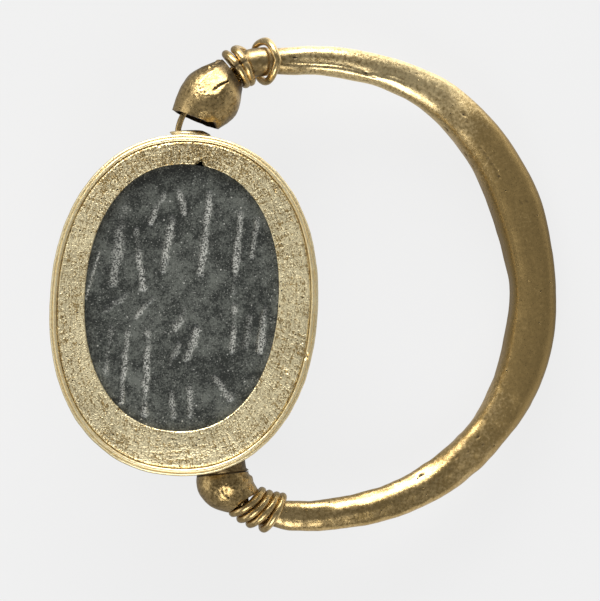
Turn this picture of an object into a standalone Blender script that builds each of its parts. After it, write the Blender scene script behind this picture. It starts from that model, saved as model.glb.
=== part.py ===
# Swivel scarab ring, lying on a table on the scarab's back with the inscribed base up.
# +Y runs along the swivel axis towards the upper cap, +X towards the hoop's crown, +Z up.
# The origin is on the table, straight below the middle of the swivel axis.

import math

import bmesh
import bpy
from mathutils import Matrix, Vector

MM = 0.001

# Gap between pieces that touch or sit in each other
SEAT_GAP = 0.03 * MM
# Gap between the turning bezel and what stays on the hoop
SWIVEL_GAP = 0.1 * MM

# Heights of the swivel axis
AXIS_HEIGHT = 4.4 * MM
FACE_ABOVE_AXIS = 2.9 * MM
# How deep each resting spot is ground flat
REST_SPOT_DEPTH = 0.12 * MM

# Opening in the border, an oval between an ellipse and a rectangle, askew on the axis
OPENING_WIDTH = 10.8 * MM
OPENING_LENGTH = 14.9 * MM
OPENING_CENTRE_X = -0.53 * MM
OPENING_CENTRE_Y = 0.36 * MM
OVAL_LEAN = math.radians(-8.2)
OVAL_EXPONENT = 2.2
# Border round it, rim included, and how far the bezel's middle lies from the opening's
BORDER_WIDTH = 2.11 * MM
BEZEL_SHIFT_X = 0.08 * MM
BEZEL_SHIFT_Y = -0.42 * MM
# How far the stone reaches under the border
STONE_OVERLAP = 0.35 * MM

# Border plate, the wire round its edge, and the band below
RIM_WIDTH = 0.44 * MM
BORDER_THICKNESS = 0.34 * MM
RIM_WIRE_RADIUS = 0.11 * MM
RIM_WIRE_SINK = 0.01 * MM
BAND_WALL = 0.36 * MM
BAND_ROLL_RADIUS = 0.13 * MM
BAND_FOOT_BELOW_AXIS = 0.62 * MM
BAND_FOOT_WIDTH = 0.7 * MM
BAND_BULGE = 0.42

# Collars on the band's ends, each pushed to one side of the axis
UPPER_COLLAR_RADIUS = 0.9 * MM
UPPER_COLLAR_SHIFT = 0.55 * MM
UPPER_COLLAR_PROUD = 0.2 * MM
LOWER_COLLAR_RADIUS = 1.5 * MM
LOWER_COLLAR_SHIFT = 1.0 * MM
COLLAR_BEVEL = 0.1 * MM
COLLAR_SEAT_GAP = 0.06 * MM

# Scarab
PLINTH_BELOW_AXIS = 0.3 * MM
PLINTH_STEP = 0.28 * MM
WAIST_DROP = 0.25 * MM
BORE_RADIUS = 0.34 * MM
SUTURE_DEPTH = 0.22 * MM
BODY_STEP = 0.2 * MM
THORAX_SHARE = 0.36
HEAD_SHARE = 0.72
LEG_RIDGE = 0.3 * MM
STROKE_WIDTH = 0.42 * MM
STROKE_DEPTH = 0.14 * MM
# Strokes of the base, in rows: middle as shares of the opening's half width and half length,
# length as a share of its half length, and lean in degrees
STROKES = (
    (-0.69, 0.36, 0.54, 4),
    (-0.46, 0.27, 0.43, -10),
    (-0.32, 0.66, 0.23, 24),
    (-0.18, 0.39, 0.39, 7),
    (-0.06, 0.71, 0.16, -16),
    (0.2, 0.5, 0.59, 3),
    (0.54, 0.36, 0.58, 2),
    (0.71, 0.48, 0.26, 5),
    (-0.69, -0.08, 0.19, 50),
    (-0.39, -0.09, 0.17, 38),
    (-0.73, -0.42, 0.32, 4),
    (-0.55, -0.54, 0.52, 2),
    (-0.32, -0.58, 0.6, -1),
    (0.0, -0.16, 0.16, 20),
    (0.14, -0.34, 0.22, 16),
    (-0.04, -0.43, 0.16, 22),
    (0.55, -0.21, 0.34, 2),
    (0.7, -0.23, 0.2, 4),
    (0.85, -0.2, 0.31, 2),
    (-0.03, -0.8, 0.17, -8),
    (0.15, -0.78, 0.19, -5),
    (0.48, -0.66, 0.19, -38),
)

# Hoop: how far the middle of its rod passes outside the bezel's ends, where its curve is
# centred, and half the rod's thickness at the crown
HOOP_CLEARANCE = 2.95 * MM
HOOP_CENTRE_X = 7.31 * MM
HOOP_SHIFT_Y = 0.34 * MM
CROWN_HALF = 1.37 * MM
# Stations from the upper end to the lower one: the angle, the distance of the rod's middle as
# a share of the hoop's radius, and half its thickness as a share of the crown's
HOOP_STATIONS = (
    (90, 1.023, 0.577),
    (78, 1.0136, 0.639),
    (66, 1.011, 0.675),
    (54, 1.0084, 0.792),
    (42, 0.9916, 0.916),
    (30, 0.974, 0.993),
    (18, 0.9596, 1.077),
    (6, 0.954, 1.033),
    (-6, 0.9644, 0.967),
    (-18, 0.972, 1.029),
    (-30, 0.984, 0.967),
    (-42, 0.9948, 0.832),
    (-54, 0.9992, 0.799),
    (-66, 1.005, 0.763),
    (-78, 1.0076, 0.701),
    (-90, 1.013, 0.65),
    (-102, 1.027, 0.606),
)
HOOP_FLATNESS = 0.94
HOOP_CREASE = 0.14

# Rod ends under the wire, and the wire itself
CORE_RADIUS = 0.73 * MM
COIL_WIRE_RADIUS = 0.24 * MM
LOOSE_WIRE_RADIUS = 0.22 * MM
SWIVEL_WIRE_RADIUS = 0.17 * MM
UPPER_COIL_PITCH = 0.51 * MM
LOWER_COIL_PITCH = 0.57 * MM
UPPER_COIL_TURNS = 2
LOWER_COIL_TURNS = 4
# How far the lower turns lean along the rod, on each side of it
LOWER_COIL_SLANT = 0.22 * MM
FIRST_TURN_FROM_NECK = 0.36 * MM
LOOSE_TURN_RADIUS = 1.15 * MM
LOOSE_TURN_ADVANCE = 1.22 * MM
LOOSE_TURN_TILT = 0.58 * MM

# Caps: hollow shells, open at the mouth that faces the bezel
CAP_WALL = 0.18 * MM
NECK_RADIUS = 1.02 * MM
UPPER_MOUTH_RADIUS = 1.41 * MM
UPPER_BELLY_RADIUS = 1.73 * MM
UPPER_BELLY_SHARE = 0.45
UPPER_CAP_SAG = 0.15 * MM
UPPER_MOUTH_X = 1.06 * MM
UPPER_MOUTH_FROM_BEZEL = 0.76 * MM
UPPER_MOUTH_HEADING = 242.3
UPPER_NECK_HEADING = 212.0
UPPER_NECK_REACH_X = 2.16 * MM
UPPER_NECK_REACH_Y = 2.44 * MM
LOWER_MOUTH_RADIUS = 1.52 * MM
LOWER_BELLY_RADIUS = 1.57 * MM
LOWER_BELLY_SHARE = 0.25
LOWER_CAP_SAG = 0.17 * MM
LOWER_MOUTH_X = 1.02 * MM
LOWER_MOUTH_HEADING = 90.0
LOWER_NECK_HEADING = 130.0
LOWER_NECK_REACH_X = 0.93 * MM
LOWER_NECK_REACH_Y = 1.36 * MM

# Facets
OVAL_SIDES = 56
ROD_SIDES = 12
CAP_SIDES = 20
WIRE_TURN_POINTS = 14

# Colours: linear RGB, roughness
OLD_GOLD = (0.56, 0.44, 0.2)
PALE_GOLD = (0.64, 0.53, 0.29)
DARK_STONE = (0.055, 0.062, 0.05)
METAL_ROUGHNESS = 0.34
STONE_ROUGHNESS = 0.55


def clear_scene():
    """Removes whatever the file holds already."""
    for thing in list(bpy.data.objects):
        bpy.data.objects.remove(thing, do_unlink=True)


def make_material(name, colour, roughness, metallic):
    """One Principled material."""
    material = bpy.data.materials.new(name)
    material.use_nodes = True
    shader = material.node_tree.nodes["Principled BSDF"]
    shader.inputs["Base Color"].default_value = (*colour, 1)
    shader.inputs["Roughness"].default_value = roughness
    shader.inputs["Metallic"].default_value = metallic
    return material


def add_object(name, data, material, parent, sharp_angle=40):
    """Puts a mesh or curve in the scene under its frame."""
    thing = bpy.data.objects.new(name, data)
    bpy.context.scene.collection.objects.link(thing)
    data.materials.append(material)
    thing.parent = parent
    if isinstance(data, bpy.types.Mesh):
        data.shade_smooth()
        data.set_sharp_from_angle(angle=math.radians(sharp_angle))
    return thing


def mesh_from(bm, name):
    """Closes a bmesh into a mesh with its faces outward."""
    bmesh.ops.recalc_face_normals(bm, faces=bm.faces)
    mesh = bpy.data.meshes.new(name)
    bm.to_mesh(mesh)
    bm.free()
    return mesh


def skin(bm, loops, closed):
    """Joins loops of vertices, one after another, with faces. Closed joins the last to the first."""
    nexts = loops[1:] + loops[:1] if closed else loops[1:]
    for near, far in zip(loops, nexts):
        for i in range(len(near)):
            j = (i + 1) % len(near)
            bm.faces.new((near[i], near[j], far[j], far[i]))


def cap_ends(bm, loops):
    """Fills the first and the last loop."""
    bm.faces.new(loops[0])
    bm.faces.new(loops[-1])


def add_loop(bm, points):
    return [bm.verts.new(point) for point in points]


def grind_flat(bm, height, up):
    """Cuts off what lies below a height along up, and fills the cut with one flat face."""
    cut = bmesh.ops.bisect_plane(
        bm,
        geom=bm.verts[:] + bm.edges[:] + bm.faces[:],
        dist=1e-8,
        plane_co=up * height,
        plane_no=-up,
        clear_outer=True,
    )
    edges = [e for e in cut["geom_cut"] if isinstance(e, bmesh.types.BMEdge)]
    if edges:
        bmesh.ops.contextual_create(bm, geom=edges)


def subtract(thing, cutters):
    """Cuts shapes out of an object, with the cutters kept as guides."""
    for cutter in cutters:
        cutter.hide_render = True
        cutter.display_type = "WIRE"
        cutter.parent = thing.parent
        cut = thing.modifiers.new("cut_" + cutter.name, "BOOLEAN")
        cut.operation = "DIFFERENCE"
        cut.solver = "EXACT"
        cut.object = cutter


def smooth_step(share):
    share = min(max(share, 0.0), 1.0)
    return share * share * (3 - 2 * share)


# Oval outlines of the bezel


def oval_point(angle, half_width, half_length, centre):
    """A point of the leaning oval with those half sizes."""
    power = 2 / OVAL_EXPONENT
    cosine = math.cos(angle)
    sine = math.sin(angle)
    x = math.copysign(abs(cosine) ** power, cosine) * half_width
    y = math.copysign(abs(sine) ** power, sine) * half_length
    return centre + Matrix.Rotation(OVAL_LEAN, 2) @ Vector((x, y))


def bezel_oval(angle, offset):
    """A point of the bezel's outline, moved outward by an offset."""
    centre = Vector((OPENING_CENTRE_X + BEZEL_SHIFT_X, OPENING_CENTRE_Y + BEZEL_SHIFT_Y))
    reach = BORDER_WIDTH + offset
    return oval_point(angle, OPENING_WIDTH / 2 + reach, OPENING_LENGTH / 2 + reach, centre)


def opening_oval(angle, offset):
    """A point of the opening's outline, moved outward by an offset."""
    centre = Vector((OPENING_CENTRE_X, OPENING_CENTRE_Y))
    return oval_point(angle, OPENING_WIDTH / 2 + offset, OPENING_LENGTH / 2 + offset, centre)


def bezel_reach(side):
    """How far the bezel's outline goes along the swivel axis, on one side."""
    steps = 720
    return max(side * bezel_oval(math.tau * i / steps, 0).y for i in range(steps))


def oval_ring(section):
    """A closed ring whose section is a list of (outline, offset, height)."""
    bm = bmesh.new()
    loops = []
    for outline, offset, height in section:
        angles = [math.tau * i / OVAL_SIDES for i in range(OVAL_SIDES)]
        flat = [outline(angle, offset) for angle in angles]
        loops.append(add_loop(bm, [(p.x, p.y, height) for p in flat]))
    skin(bm, loops, closed=True)
    return bm


# Border plate, rim wire and band

BORDER_BOTTOM = FACE_ABOVE_AXIS - BORDER_THICKNESS
STONE_FACE = BORDER_BOTTOM - SEAT_GAP
RIM_LEDGE = FACE_ABOVE_AXIS - RIM_WIRE_SINK - 2 * RIM_WIRE_RADIUS - SEAT_GAP
ROLL_TOP = RIM_LEDGE + BAND_ROLL_RADIUS
ROLL_UNDER = ROLL_TOP - 3 * BAND_ROLL_RADIUS
BAND_TOP = BORDER_BOTTOM - SEAT_GAP
BAND_FOOT = -BAND_FOOT_BELOW_AXIS
BAND_FOOT_TOP = BAND_FOOT + BAND_WALL
BAND_WAIST = (BAND_FOOT_TOP + BAND_TOP) / 2
UPPER_END = bezel_reach(1)
LOWER_END = -bezel_reach(-1)
# Long enough for a bore right through
BEZEL_REACH = UPPER_END - LOWER_END
HOOP_RADIUS = BEZEL_REACH / 2 + HOOP_CLEARANCE


def make_border(material, frame):
    """The flat border plate, its opening's edge a little bevelled."""
    bevel = BORDER_THICKNESS / 4
    section = (
        (opening_oval, 0, BORDER_BOTTOM),
        (opening_oval, 0, FACE_ABOVE_AXIS - bevel),
        (opening_oval, bevel, FACE_ABOVE_AXIS),
        (bezel_oval, -RIM_WIDTH, FACE_ABOVE_AXIS),
        (bezel_oval, -RIM_WIDTH, BORDER_BOTTOM),
    )
    add_object("border_plate", mesh_from(oval_ring(section), "border_plate"), material, frame)


def make_rim_wire(material, frame):
    """The thin wire that lies in the step round the plate."""
    sides = 6
    middle = -RIM_WIDTH + SEAT_GAP + RIM_WIRE_RADIUS
    height = FACE_ABOVE_AXIS - RIM_WIRE_SINK - RIM_WIRE_RADIUS
    section = []
    for i in range(sides):
        turn = math.tau * i / sides
        offset = middle + RIM_WIRE_RADIUS * math.cos(turn)
        section.append((bezel_oval, offset, height + RIM_WIRE_RADIUS * math.sin(turn)))
    add_object("rim_wire", mesh_from(oval_ring(section), "rim_wire"), material, frame)


def band_outside(angle, down):
    """The band's outer wall, from under its rolled edge, at 0, to its foot, at 1."""
    top = bezel_oval(angle, -RIM_WIDTH)
    return top.lerp(opening_oval(angle, STONE_OVERLAP + SEAT_GAP + BAND_FOOT_WIDTH), down)


def band_inside(angle, down):
    """The band's inner wall over the same height."""
    top = bezel_oval(angle, -RIM_WIDTH - BAND_WALL)
    foot = opening_oval(angle, STONE_OVERLAP + SEAT_GAP + BAND_FOOT_WIDTH - BAND_WALL)
    return top.lerp(foot, down)


def make_band(material, frame):
    """The band that holds the stone, a hollow bowl shape with a roll at the top and a foot."""
    roll_inner = -RIM_WIDTH + 2 * (SEAT_GAP + RIM_WIRE_RADIUS)
    stone_side = STONE_OVERLAP + SEAT_GAP
    section = (
        (opening_oval, stone_side, BAND_FOOT),
        (opening_oval, stone_side, BAND_FOOT_TOP),
        (band_inside, 1, BAND_FOOT_TOP),
        (band_inside, BAND_BULGE, BAND_WAIST),
        (band_inside, 0, BAND_TOP),
        (bezel_oval, -RIM_WIDTH + SEAT_GAP / 2, BAND_TOP),
        (bezel_oval, -RIM_WIDTH + SEAT_GAP / 2, RIM_LEDGE),
        (bezel_oval, roll_inner, RIM_LEDGE),
        (bezel_oval, -BAND_ROLL_RADIUS * 0.6, ROLL_TOP),
        (bezel_oval, 0, ROLL_TOP - BAND_ROLL_RADIUS * 0.7),
        (bezel_oval, -BAND_ROLL_RADIUS * 0.3, ROLL_TOP - 2 * BAND_ROLL_RADIUS),
        (band_outside, 0, ROLL_UNDER),
        (band_outside, BAND_BULGE, BAND_WAIST),
        (band_outside, 1, BAND_FOOT_TOP),
        (band_outside, 1, BAND_FOOT),
    )
    band = add_object("bezel_band", mesh_from(oval_ring(section), "bezel_band"), material, frame)
    subtract(band, [axis_rod("band_bore", BORE_RADIUS, BEZEL_REACH)])


def wall_end(x, height, side):
    """How far the band's wall goes along the axis at one end, at a place across it and a height."""
    low = max(min(height, ROLL_UNDER), BAND_FOOT_TOP)
    if low < BAND_WAIST:
        share = (low - BAND_FOOT_TOP) / (BAND_WAIST - BAND_FOOT_TOP)
        down = 1 + (BAND_BULGE - 1) * share
    else:
        down = BAND_BULGE * (ROLL_UNDER - low) / (ROLL_UNDER - BAND_WAIST)
    steps = 720
    wall = [band_outside(math.tau * i / steps, down) for i in range(steps)]
    nearest = min((p for p in wall if side * p.y > 0), key=lambda p: abs(p.x - x))
    return nearest.y


def axis_rod(name, radius, half_length):
    """A rod along the swivel axis, to cut bores with."""
    bm = bmesh.new()
    turn = Matrix.Rotation(math.pi / 2, 4, "X")
    bmesh.ops.create_cone(
        bm,
        cap_ends=True,
        segments=10,
        radius1=radius,
        radius2=radius,
        depth=2 * half_length,
        matrix=turn,
    )
    thing = bpy.data.objects.new(name, mesh_from(bm, name))
    bpy.context.scene.collection.objects.link(thing)
    return thing


def make_collar(name, radius, shift, face, material, frame):
    """A round plate with the wire through it, its back shaped to the band's end."""
    sides = 18
    side = math.copysign(1, face)
    turns = [math.tau * i / sides for i in range(sides)]
    bm = bmesh.new()
    loops = []
    for ring_radius, centre, depth in (
        (BORE_RADIUS, 0, 0),
        (radius - COLLAR_BEVEL, shift, 0),
        (radius, shift, COLLAR_BEVEL),
    ):
        y = face - side * depth
        points = [(centre + ring_radius * math.cos(t), y, ring_radius * math.sin(t)) for t in turns]
        loops.append(add_loop(bm, points))
    for share in (0, 0.35, 0.7, 1):
        ring_radius = radius + (BORE_RADIUS - radius) * share
        centre = shift * (1 - share)
        points = []
        for t in turns:
            x = centre + ring_radius * math.cos(t)
            z = ring_radius * math.sin(t)
            points.append((x, wall_end(x, z, side) + side * COLLAR_SEAT_GAP, z))
        loops.append(add_loop(bm, points))
    skin(bm, loops, closed=True)
    add_object(name, mesh_from(bm, name), material, frame)


# Scarab


def carved(across, along, level):
    """How far the carving moves the back inward, for a place given in shares of the half sizes."""
    thorax_line = THORAX_SHARE - 0.12 * across * across
    head_line = HEAD_SHARE - 0.14 * across * across
    run = 0.1
    sink = BODY_STEP * smooth_step((along - thorax_line) / run + 0.5)
    sink += 2 * BODY_STEP * smooth_step((along - head_line) / run + 0.5)
    if along < thorax_line:
        sink += SUTURE_DEPTH * max(0.0, 1 - abs(across) / 0.06) * (1 - level**3)
    if level < 0.36:
        for leg, slant in ((0.6, 0.8), (0.1, -0.6), (-0.45, -0.8)):
            off = abs(along - leg - slant * (level - 0.18)) / 0.12
            sink -= LEG_RIDGE * max(0.0, 1 - off * off)
    return sink


def make_scarab(material, frame):
    """The stone: an oval plinth with the inscribed base up, and the beetle's back below."""
    levels = 13
    sides = OVAL_SIDES
    bottom = -AXIS_HEIGHT - REST_SPOT_DEPTH
    plinth_bottom = -PLINTH_BELOW_AXIS
    waist = plinth_bottom - WAIST_DROP
    bm = bmesh.new()
    angles = [math.tau * i / sides for i in range(sides)]
    loops = []
    for offset, height in (
        (STONE_OVERLAP, STONE_FACE),
        (STONE_OVERLAP, plinth_bottom),
        (STONE_OVERLAP - PLINTH_STEP, waist),
    ):
        flat = [opening_oval(angle, offset) for angle in angles]
        loops.append(add_loop(bm, [(p.x, p.y, height) for p in flat]))
    half_width = OPENING_WIDTH / 2 + STONE_OVERLAP - PLINTH_STEP
    half_length = OPENING_LENGTH / 2 + STONE_OVERLAP - PLINTH_STEP
    centre = Vector((OPENING_CENTRE_X, OPENING_CENTRE_Y))
    tall = waist - bottom
    for k in range(1, levels):
        climb = math.pi / 2 * k / levels
        size = math.cos(climb) ** 0.8
        height = math.sin(climb) ** 0.86
        points = []
        for angle in angles:
            flat = oval_point(angle, half_width * size, half_length * size, centre)
            local = Matrix.Rotation(-OVAL_LEAN, 2) @ (flat - centre)
            inward = carved(local.x / half_width, local.y / half_length, k / levels)
            side = flat - centre
            side = side.normalized() if side.length > 0 else side
            moved = flat - side * inward * math.cos(climb)
            points.append((moved.x, moved.y, waist - tall * height + inward * math.sin(climb)))
        loops.append(add_loop(bm, points))
    skin(bm, loops, closed=False)
    cap_ends(bm, loops)
    bmesh.ops.triangulate(bm, faces=[f for f in bm.faces if len(f.verts) > 4])
    grind_flat(bm, -AXIS_HEIGHT, Vector((0, 0, 1)))
    scarab = add_object("scarab", mesh_from(bm, "scarab"), material, frame)
    subtract(scarab, [axis_rod("scarab_bore", BORE_RADIUS, BEZEL_REACH), stroke_cutter()])


def stroke_cutter():
    """The rows of shallow strokes across the base, as one cutting shape."""
    half_width = OPENING_WIDTH / 2
    half_length = OPENING_LENGTH / 2
    bm = bmesh.new()
    for across, along, reach, lean in STROKES:
        size = Matrix.Diagonal((STROKE_WIDTH, reach * half_length, 2 * STROKE_DEPTH, 1))
        place = Matrix.Translation((across * half_width, along * half_length, 0))
        turn = Matrix.Rotation(math.radians(-lean), 4, "Z")
        bmesh.ops.create_cube(bm, size=1, matrix=place @ turn @ size)
    centre = Matrix.Translation((OPENING_CENTRE_X, OPENING_CENTRE_Y, STONE_FACE))
    bmesh.ops.transform(bm, matrix=centre @ Matrix.Rotation(OVAL_LEAN, 4, "Z"), verts=bm.verts)
    cutter = bpy.data.objects.new("base_strokes", mesh_from(bm, "base_strokes"))
    bpy.context.scene.collection.objects.link(cutter)
    return cutter


# Hoop and its ends, drawn in the hoop's own plane


def direction(degrees):
    return Vector((math.cos(math.radians(degrees)), math.sin(math.radians(degrees))))


class BentLine:
    """A smooth line from a place and heading to another, measured along its length."""

    def __init__(self, start, start_heading, end, end_heading):
        pull = (end - start).length * 0.36
        first = start + direction(start_heading) * pull
        second = end - direction(end_heading) * pull
        self.points = []
        steps = 60
        for i in range(steps + 1):
            t = i / steps
            u = 1 - t
            point = start * u**3 + first * 3 * u * u * t + second * 3 * u * t * t + end * t**3
            self.points.append(point)
        self.lengths = [0.0]
        for a, b in zip(self.points, self.points[1:]):
            self.lengths.append(self.lengths[-1] + (b - a).length)
        self.start_heading = direction(start_heading)
        self.end_heading = direction(end_heading)

    @property
    def length(self):
        return self.lengths[-1]

    def at(self, distance):
        """The point at a distance along the line, and the heading there. It runs on straight past its ends."""
        if distance <= 0:
            return self.points[0] + self.start_heading * distance, self.start_heading
        if distance >= self.length:
            beyond = distance - self.length
            return self.points[-1] + self.end_heading * beyond, self.end_heading
        i = max(k for k, length in enumerate(self.lengths) if length <= distance)
        a = self.points[i]
        b = self.points[i + 1]
        share = (distance - self.lengths[i]) / (self.lengths[i + 1] - self.lengths[i])
        return a.lerp(b, share), (b - a).normalized()


def station_at(angle):
    """Distance of the rod's middle and half its thickness at an angle, smooth between stations."""
    rows = HOOP_STATIONS
    k = max(i for i in range(len(rows) - 1) if angle <= rows[i][0] or i == 0)
    k = min(k, len(rows) - 2)
    share = (rows[k][0] - angle) / (rows[k][0] - rows[k + 1][0])
    values = []
    for column in (1, 2):
        p0 = rows[max(k - 1, 0)][column]
        p1 = rows[k][column]
        p2 = rows[k + 1][column]
        p3 = rows[min(k + 2, len(rows) - 1)][column]
        slope = (p2 - p0) / 2
        next_slope = (p3 - p1) / 2
        rise = p2 - p1
        bend = 3 * rise - 2 * slope - next_slope
        twist = slope + next_slope - 2 * rise
        values.append(p1 + share * (slope + share * (bend + share * twist)))
    return values[0] * HOOP_RADIUS, values[1] * CROWN_HALF


def hoop_point(angle):
    reach, half = station_at(angle)
    centre = Vector((HOOP_CENTRE_X, (UPPER_END + LOWER_END) / 2 + HOOP_SHIFT_Y))
    return centre + direction(angle) * reach, half


def hoop_heading(angle):
    """The way the rod's middle runs at an angle, from the upper end to the lower one."""
    step = 0.5
    before, _ = hoop_point(angle + step)
    after, _ = hoop_point(angle - step)
    run = after - before
    return math.degrees(math.atan2(run.y, run.x))


UPPER_MOUTH = Vector((UPPER_MOUTH_X, UPPER_END + UPPER_MOUTH_FROM_BEZEL))
UPPER_NECK = UPPER_MOUTH + Vector((UPPER_NECK_REACH_X, UPPER_NECK_REACH_Y))
LOWER_MOUTH = Vector((LOWER_MOUTH_X, LOWER_END - SWIVEL_GAP))
LOWER_NECK = LOWER_MOUTH + Vector((LOWER_NECK_REACH_X, -LOWER_NECK_REACH_Y))

FIRST_ANGLE = HOOP_STATIONS[0][0]
LAST_ANGLE = HOOP_STATIONS[-1][0]
UPPER_ROD = BentLine(
    UPPER_NECK, UPPER_NECK_HEADING - 180, hoop_point(FIRST_ANGLE)[0], hoop_heading(FIRST_ANGLE)
)
LOWER_ROD = BentLine(
    LOWER_NECK, LOWER_NECK_HEADING - 180, hoop_point(LAST_ANGLE)[0], hoop_heading(LAST_ANGLE) + 180
)

# The rod starts past the first turn of wire, which drops inward to the cap's neck there
CORE_START = FIRST_TURN_FROM_NECK + COIL_WIRE_RADIUS + SEAT_GAP


def rod_section(middle, heading, half, squareness):
    """The loop of the rod's section: round, or squarer with a crease on the inner side."""
    side = Vector((-heading.y, heading.x))
    points = []
    for i in range(ROD_SIDES):
        turn = math.tau * i / ROD_SIDES
        across = math.cos(turn)
        up = math.sin(turn)
        stretch = 1 + squareness * (abs(math.cos(2 * turn)) - 0.5)
        place = middle + side * across * half * stretch
        points.append((place.x, place.y, up * half * HOOP_FLATNESS * stretch))
    return points


def rod_path():
    """The rod's middle, heading, half thickness and squareness from the upper tip to the lower one."""
    path = []
    steps = 9
    for line, sign, end_half in (
        (UPPER_ROD, 1, hoop_point(FIRST_ANGLE)[1]),
        (LOWER_ROD, -1, hoop_point(LAST_ANGLE)[1]),
    ):
        part = []
        for i in range(steps):
            distance = CORE_START + (line.length - CORE_START) * i / steps
            middle, heading = line.at(distance)
            share = smooth_step((distance / line.length - 0.6) / 0.4)
            half = CORE_RADIUS + (end_half - CORE_RADIUS) * share
            part.append((middle, heading * sign, half, HOOP_CREASE * share))
        if sign < 0:
            part.reverse()
        path.append(part)
    turns = 44
    middle_part = []
    for i in range(turns + 1):
        angle = FIRST_ANGLE + (LAST_ANGLE - FIRST_ANGLE) * i / turns
        middle, half = hoop_point(angle)
        heading = direction(hoop_heading(angle))
        middle_part.append((middle, heading, half, HOOP_CREASE))
    return path[0] + middle_part + path[1]


def make_hoop(material, frame, tilt):
    """The tapering rod of the hoop with its two round ends, ground flat where it rests."""
    bm = bmesh.new()
    loops = [add_loop(bm, rod_section(*row)) for row in rod_path()]
    skin(bm, loops, closed=False)
    cap_ends(bm, loops)
    up = Matrix.Rotation(-tilt, 3, "Y") @ Vector((0, 0, 1))
    grind_flat(bm, -AXIS_HEIGHT, up)
    add_object("hoop", mesh_from(bm, "hoop"), material, frame)


def hoop_tilt():
    """How far the hoop leans down from the swivel axis until its crown lies on the table."""
    crown, half = hoop_point(0)
    drop = AXIS_HEIGHT - (half * HOOP_FLATNESS - REST_SPOT_DEPTH)
    return math.asin(drop / crown.x)


# Caps


def cap_radius(share, mouth, belly, belly_share):
    """Outer radius of a cap from its mouth, at 0, to its neck, at 1."""
    if share < belly_share:
        return mouth + (belly - mouth) * math.sin(math.pi / 2 * share / belly_share)
    fall = (share - belly_share) / (1 - belly_share)
    return NECK_RADIUS + (belly - NECK_RADIUS) * math.cos(math.pi / 2 * fall)


def make_cap(name, neck, neck_heading, mouth_place, mouth_heading, radii, material, frame):
    """A thin bent shell with a wide mouth and a narrow neck, its belly sagging to one side."""
    line = BentLine(neck, neck_heading, mouth_place, mouth_heading)
    mouth, belly, belly_share, sag = radii
    rows = 8
    bm = bmesh.new()
    outer = []
    inner = []
    for i in range(rows):
        share = i / (rows - 1)
        middle, _ = line.at(line.length * (1 - share))
        side = direction(mouth_heading + (neck_heading - mouth_heading) * share + 90)
        middle = middle + side * sag * math.sin(math.pi * share)
        radius = cap_radius(share, mouth, belly, belly_share)
        for wall, loops in ((0, outer), (CAP_WALL, inner)):
            turns = [math.tau * k / CAP_SIDES for k in range(CAP_SIDES)]
            points = []
            for turn in turns:
                place = middle + side * (radius - wall) * math.cos(turn)
                points.append((place.x, place.y, (radius - wall) * math.sin(turn)))
            loops.append(add_loop(bm, points))
    skin(bm, outer + inner[::-1], closed=True)
    add_object(name, mesh_from(bm, name), material, frame)


# Wire


def wound_point(line, distance, radius, turn):
    """A point beside the rod: turn 0 is on the face side, a quarter turn on is left of its run."""
    middle, heading = line.at(distance)
    side = Vector((-heading.y, heading.x))
    flat = middle + side * radius * math.sin(turn)
    return Vector((flat.x, flat.y, radius * math.cos(turn)))


def winding(line, knots):
    """Points of the wire round a rod end, through knots of (turns, distance, radius, wire, slant).

    The slant carries one side of a turn forward along the rod and the other side back.
    """
    points = []
    for start, end in zip(knots, knots[1:]):
        steps = max(2, round(abs(end[0] - start[0]) * WIRE_TURN_POINTS))
        for i in range(steps + (end is knots[-1])):
            share = i / steps
            eased = smooth_step(share)
            turn = (start[0] + (end[0] - start[0]) * share) * math.tau
            distance = start[1] + (end[1] - start[1]) * share
            radius, wire, slant = (start[k] + (end[k] - start[k]) * eased for k in (2, 3, 4))
            distance += slant * math.sin(turn)
            points.append((wound_point(line, distance, radius, turn), wire))
    return points


def coil_knots(turns, pitch, slant):
    """Knots from the middle of the neck, out to the first turn and along the tight turns."""
    radius = CORE_RADIUS + SEAT_GAP + COIL_WIRE_RADIUS
    first = FIRST_TURN_FROM_NECK
    thin = SWIVEL_WIRE_RADIUS
    thick = COIL_WIRE_RADIUS
    start = SWIVEL_WIRE_RADIUS * 0.7
    last = turns - 0.75
    return [
        (-0.62, first * 0.55, start, thin, 0),
        (-0.25, first, radius, thick, slant * 0.6),
        (0.25, first + pitch * 0.25, radius, thick, slant),
        (last, first + pitch * last, radius, thick, slant),
    ]


def upper_knots():
    """The upper winding: tight turns, then one loose tilted turn with an open end."""
    knots = coil_knots(UPPER_COIL_TURNS, UPPER_COIL_PITCH, 0)
    turns = UPPER_COIL_TURNS
    loose = FIRST_TURN_FROM_NECK + (turns - 1) * UPPER_COIL_PITCH + LOOSE_TURN_ADVANCE
    thin = LOOSE_WIRE_RADIUS
    reach = LOOSE_TURN_RADIUS
    # The tilt lowers the turn's back towards the cap and raises its front towards the hoop
    for turn, share in ((-0.5, -1), (-0.25, 0), (0, 1), (0.25, 0.1), (0.39, -0.75)):
        knots.append((turns + turn, loose + LOOSE_TURN_TILT * share, reach, thin, 0))
    return knots


def lower_knots():
    """The lower winding: tight slanting turns whose cut end shows on the outer side."""
    knots = coil_knots(LOWER_COIL_TURNS, LOWER_COIL_PITCH, LOWER_COIL_SLANT)
    turns = LOWER_COIL_TURNS
    _, distance, radius, wire, _ = knots[-1]
    knots.append((turns - 0.22, distance + LOWER_COIL_PITCH * 0.3, radius, wire, 0))
    return knots


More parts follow.
